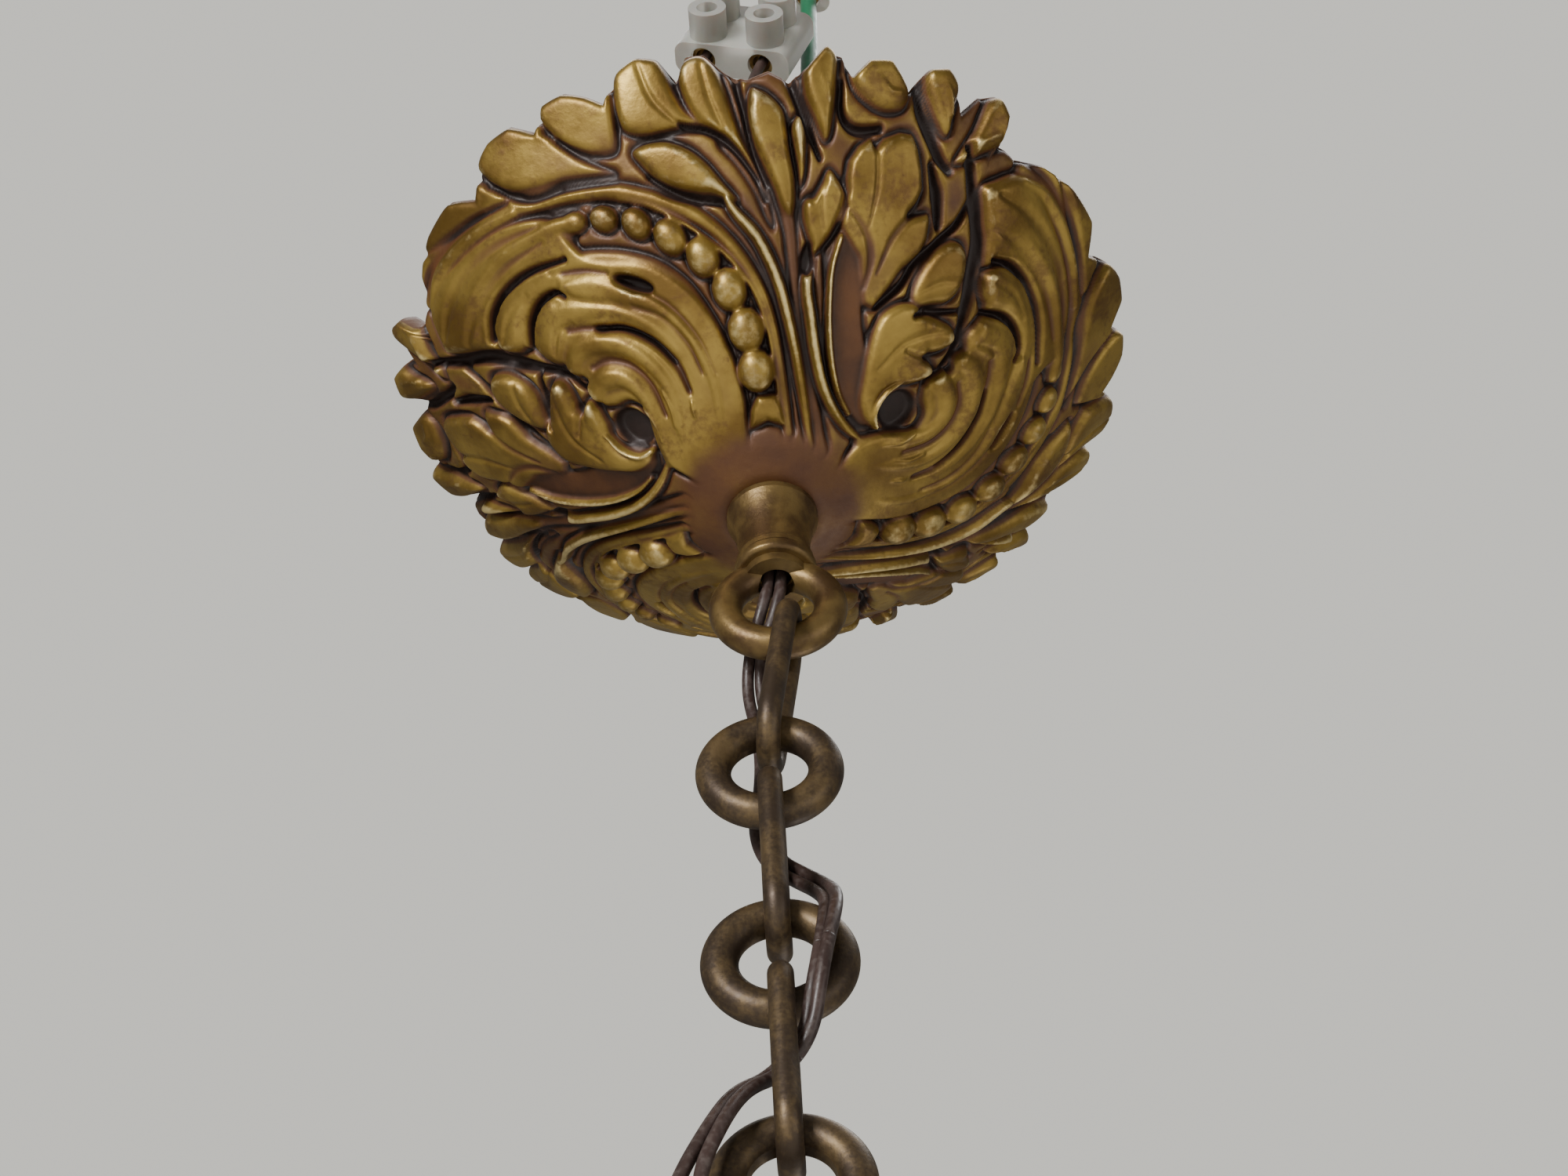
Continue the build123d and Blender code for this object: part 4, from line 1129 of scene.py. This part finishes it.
# The inside is plain: it follows the bowl at the wall's depth
inner_rings = np.concatenate([[hole_radius, flat_radius], np.linspace(inner_from, edge_ring, inner_count)])
inner_depth = np.concatenate([[wall, wall], np.full(inner_count, wall + inner_extra)])[:, None]
inner_grid, inner_azimuth = np.meshgrid(inner_rings, azimuth, indexing="ij")
inner_grid = lobed(inner_grid, inner_azimuth)
rise, lean, drop = bowl_section(inner_grid)
inner = around(inner_grid - lean * inner_depth, inner_azimuth, rise - drop * inner_depth)

# The lip joins the last ring outside to the last ring inside
lip = []
outward_way = around(np.ones(spokes), azimuth, np.full(spokes, lip_lift))
for number in range(1, lip_steps):
    share = number / lip_steps
    swell = math.sin(share * math.pi) * lip_swell
    lip.append(outer[-1] * (1 - share) + inner[-1] * share + outward_way * swell)

shell = np.concatenate([outer, np.array(lip), inner[::-1]])
ring_total = len(shell)
canopy_points = shell.reshape(-1, 3) * mm + np.array([0, 0, canopy_z])
index = np.arange(ring_total * spokes).reshape(ring_total, spokes)
after_ring = np.roll(index, -1, axis=0)
after_spoke = np.roll(index, -1, axis=1)
after_both = np.roll(after_ring, -1, axis=1)
canopy_faces = np.stack([index, after_spoke, after_both, after_ring], axis=-1).reshape(-1, 4)
canopy_piece = add_mesh("carved_canopy", canopy_points, canopy_faces.tolist())
plain_total = (ring_total - len(outer)) * spokes
for name, values, inside in (("carved_level", level, inside_level), ("carved_crest", crest, inside_crest)):
    layer = canopy_piece.data.attributes.new(name, "FLOAT", "POINT")
    layer.data.foreach_set("value", np.concatenate([values.ravel(), np.full(plain_total, inside)]))
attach(canopy_piece, "hanger")
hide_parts("canopy")
print("canopy mesh", len(canopy_points), "points")

# %% [markdown]
# The earth boss is cast with the bowl: a short post on the sloping floor,
# tapped for its screw. Its foot follows the middle of the wall.

# %% Earth boss
boss_x = 16.5
boss_y = 5.0
boss_sides = 48
boss_radius = 4.5
boss_top = 11.8
boss_bevel = 0.4
foot_depth = wall / 2 + 0.3
screw_hole = 2.05
screw_hole_bevel = 0.3
screw_hole_end = 6.1
drill_tip = (0.6, 6.0)
# From the foot, over the top, down the hole: radius and height above the canopy's underside
boss_profile = [
    (boss_radius, None),
    (boss_radius, boss_top - boss_bevel),
    (boss_radius - boss_bevel, boss_top),
    (screw_hole + screw_hole_bevel, boss_top),
    (screw_hole, boss_top - screw_hole_bevel),
    (screw_hole, screw_hole_end),
    drill_tip,
]
boss_points = []
for radius, boss_rise in boss_profile:
    for number in range(boss_sides):
        turned = 2 * math.pi * number / boss_sides
        x = boss_x + radius * math.cos(turned)
        y = boss_y + radius * math.sin(turned)
        z = boss_rise
        if boss_rise is None:
            z = float(bowl_section(np.array(math.hypot(x, y)))[0]) + foot_depth
        boss_points.append((x * mm, y * mm, canopy_z + z * mm))
boss_faces = []
for row in range(len(boss_profile) - 1):
    for number in range(boss_sides):
        after = (number + 1) % boss_sides
        low = row * boss_sides
        high = low + boss_sides
        boss_faces.append((low + number, low + after, high + after, high + number))
last_row = (len(boss_profile) - 1) * boss_sides
boss_faces.append(tuple(range(last_row, last_row + boss_sides)))
boss_faces.append(tuple(reversed(range(boss_sides))))
boss_piece = add_mesh("earth_boss", boss_points, boss_faces)
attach(boss_piece, "hanger")
print("earth boss", len(boss_points), "points")

# %% [markdown]
# Worn gilding over red-brown lacquer: the gold stays on what stands out, and the
# lacquer colour in the hollows is darkened so that it is also painted shade there,
# with the deepest places painted near black as shade. The sharpest and highest
# crests are rubbed bright and carry a painted highlight. The two numbers kept in
# the mesh drive all of these.

# %% Gilt finish
def read_number(name):
    return Shade.node("ShaderNodeAttribute", {"attribute_name": name}, None, output="Fac")


def worn_gilt_and_painted_light():
    high = read_number("carved_level")
    sharp = read_number("carved_crest")
    cloud = grain(110, detail=6)
    fine = grain(800, detail=5)
    patch = grain(60, detail=5)
    # Low and hollow places take the lacquer colour, which is also painted shade there, and high outstanding
    # places take the gold
    uneven = high + (cloud - 0.5) * 0.24 + (sharp - 0.5) * 0.9
    gold_mask = uneven.between(0.40, 0.66)
    # Where this mask is 0 the deepest places get near-black painted shade, and where it is 1 the lacquer
    # colour shows
    shade_to_lacquer_mask = uneven.between(0.12, 0.40)
    # Rubbed wear and a painted highlight: the sharpest and highest crests are coloured pale gold
    rubbed_and_highlight_mask = (sharp + (fine - 0.5) * 0.3 + (high - 0.75) * 0.4).between(0.66, 0.86)
    dirt_mask = (cloud + (fine - 0.5) * 0.6).between(0.50, 0.76) * 0.6
    gold = mix_colour(patch.between(0.35, 0.65), (0.150, 0.084, 0.016, 1), (0.34, 0.225, 0.050, 1))
    gold = mix_colour(dirt_mask, gold, (0.105, 0.046, 0.020, 1))
    # Red-brown lacquer, dark enough to be painted shade in the hollows as well
    lacquer_and_shade = mix_colour(cloud, (0.045, 0.014, 0.007, 1), (0.15, 0.058, 0.014, 1))
    # Painted shade: the deepest places and holes are coloured near black
    deep = mix_colour(fine, (0.010, 0.005, 0.004, 1), (0.028, 0.013, 0.010, 1))
    colour = mix_colour(shade_to_lacquer_mask, deep, lacquer_and_shade)
    colour = mix_colour(gold_mask, colour, gold)
    colour = mix_colour(rubbed_and_highlight_mask * 0.7, colour, (0.80, 0.64, 0.30, 1))
    return {
        "Base Color": colour,
        "Metallic": 0.2 + gold_mask * 0.5,
        "Roughness": 0.52 - gold_mask * 0.1 + (fine - 0.5) * 0.25,
        "Normal": bump(fine * 0.5 + cloud, 0.0002, 0.7),
    }


gilt_finish = finish_with("worn gilt", worn_gilt_and_painted_light)
canopy_piece.data.materials.append(gilt_finish)
boss_piece.data.materials.append(gilt_finish)
print("gilt on", canopy_piece.name, "and", boss_piece.name)

# %% [markdown]
# The neck and the loop are bronze that hands have rubbed to a dull yellow.
# The chain is darker, with a little wear. The fittings inside are dull brass
# and steel, and the terminal blocks are of a milky plastic.

# %% Brown bronze, brass and block finishes
def brown_bronze():
    cloud = grain(130, detail=5)
    fine = grain(1400, detail=4)
    streak = grain(260, detail=4, stretch=(1, 1, 0.25))
    rubbed = (cloud * 0.6 + streak * 0.4 + (fine - 0.5) * 0.25).between(0.40, 0.66)
    colour = mix_colour(rubbed, (0.058, 0.039, 0.025, 1), (0.150, 0.100, 0.046, 1))
    return {
        "Base Color": colour,
        "Metallic": 0.6,
        "Roughness": 0.46 + (fine - 0.5) * 0.25,
        "Normal": bump(fine * 0.6 + streak, 0.00012, 0.6),
    }


def rubbed_neck():
    cloud = grain(160, detail=5)
    fine = grain(1400, detail=4)
    colour = mix_colour(cloud.between(0.35, 0.66), (0.085, 0.048, 0.020, 1), (0.20, 0.130, 0.045, 1))
    return {
        "Base Color": colour,
        "Metallic": 0.65,
        "Roughness": 0.40 + (fine - 0.5) * 0.25,
        "Normal": bump(fine + cloud, 0.00008, 0.6),
    }


def dull_metal(cloud, mask, dark, light, metallic):
    """A machined metal, brighter where the mask is high and duller where the cloud is."""
    return {
        "Base Color": mix_colour(mask, dark, light),
        "Metallic": metallic,
        "Roughness": 0.3 + cloud * 0.2,
        "Normal": bump(grain(2500), 0.00005, 0.5),
    }


def dull_brass():
    cloud = grain(300, detail=5)
    return dull_metal(cloud, cloud.between(0.35, 0.7), (0.24, 0.165, 0.06, 1), (0.50, 0.36, 0.15, 1), 0.95)


def dull_steel():
    cloud = grain(400, detail=4)
    return dull_metal(cloud, cloud, (0.30, 0.30, 0.29, 1), (0.50, 0.50, 0.48, 1), 1.0)


def milky_block():
    cloud = grain(250, detail=4)
    colour = mix_colour(cloud, (0.46, 0.45, 0.40, 1), (0.62, 0.61, 0.56, 1))
    return {
        "Base Color": colour,
        "Roughness": 0.35 + cloud * 0.2,
        "Transmission Weight": 0.5,
        "Subsurface Weight": 0.3,
        "Subsurface Scale": 0.003,
        "Normal": bump(grain(700), 0.0001, 0.5),
    }


bronze_finish = finish_with("brown bronze", brown_bronze)
neck_finish = finish_with("rubbed neck", rubbed_neck)
brass_finish = finish_with("dull brass", dull_brass)
block_finish = finish_with("milky block", milky_block)
steel_finish = finish_with("dull steel", dull_steel)
node_finish = {
    "neck_collar": neck_finish,
    "suspension_loop": neck_finish,
    "hanging_eye": brass_finish,
    "stem_tube": brass_finish,
    "clamp_washer": steel_finish,
    "clamp_nut": brass_finish,
    "earth_screw": steel_finish,
    "earth_lug": steel_finish,
}
for number in (1, 2, 3):
    node_finish[f"link_{number}"] = bronze_finish
    node_finish[f"ring_{number + 1}"] = bronze_finish
for block in ("terminal_block", "flex_connector", "earth_connector"):
    node_finish[f"{block}_body"] = block_finish
    node_finish[f"{block}_tubes"] = brass_finish
    node_finish[f"{block}_screws"] = steel_finish
for name, finish in node_finish.items():
    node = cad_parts[name]
    node.data.materials.clear()
    node.data.materials.append(finish)
print("nodes finished", len(node_finish))

# %% [markdown]
# The object hangs in the air, so its floor lies well below the camera. The
# floor is a pale grey, and so is the backdrop that the camera sees. The light
# that the world gives to the object is darker and weak.

# %% Floor and world
floor_z = -0.62
floor_half = 3.0
pale = (0.76, 0.745, 0.70, 1)
backdrop = (0.78, 0.765, 0.71, 1)
floor_corners = [(x * floor_half, y * floor_half, floor_z) for x, y in ((-1, -1), (1, -1), (1, 1), (-1, 1))]
floor = add_mesh("studio_floor", floor_corners, [(0, 1, 2, 3)], smooth=False)


def pale_floor():
    return {"Base Color": mix_colour(grain(3), pale, (0.80, 0.785, 0.74, 1)), "Roughness": 0.9}


floor.data.materials.append(finish_with("pale floor", pale_floor))

world = bpy.data.worlds.new("pale room")
bpy.context.scene.world = world
world.use_nodes = True
Shade.tree = world.node_tree
Shade.tree.nodes.clear()
seen = Shade.node("ShaderNodeLightPath", None, None, output="Is Camera Ray")
through = Shade.node("ShaderNodeLightPath", None, None, output="Is Transmission Ray")
plain = Shade.node("ShaderNodeBackground", None, {"Color": (0.55, 0.54, 0.52, 1), "Strength": 0.3})
shown = Shade.node("ShaderNodeBackground", None, {"Color": backdrop, "Strength": 1.0})
chosen = Shade.node("ShaderNodeMixShader", None, {0: (seen + through).between(0, 1), 1: plain, 2: shown})
world_end = Shade.tree.nodes.new("ShaderNodeOutputWorld")
Shade.tree.links.new(chosen.socket, world_end.inputs["Surface"])
print("floor at", floor_z, "m")

# %% [markdown]
# A soft lamp low in front, a fill from the right and a weak one behind draw
# the forms. A wide one high up lights the floor and the canopy's inside.

# %% Lamps
def soft_lamp(name, place, aim, size, power):
    """A round lamp at a place, turned to a point: its diameter in metres and its power in watts."""
    data = bpy.data.lights.new(name, "AREA")
    data.shape = "DISK"
    data.size = size
    data.energy = power
    lamp = bpy.data.objects.new(name, data)
    bpy.context.scene.collection.objects.link(lamp)
    away = (Vector(aim) - Vector(place)).normalized()
    lamp.matrix_world = Matrix.Translation(place) @ away.to_track_quat("-Z", "Y").to_matrix().to_4x4()


chain_middle = (0, 0, loop_z)
soft_lamp("low front", (-0.5, -0.85, -0.1), chain_middle, 0.35, 11)
soft_lamp("right fill", (0.8, -0.5, -0.4), chain_middle, 0.6, 1.5)
soft_lamp("back", (0.3, 0.7, -0.5), chain_middle, 0.5, 1.2)
soft_lamp("room", (0.3, 0.2, 1.5), (0.0, 0.0, floor_z), 1.6, 26)
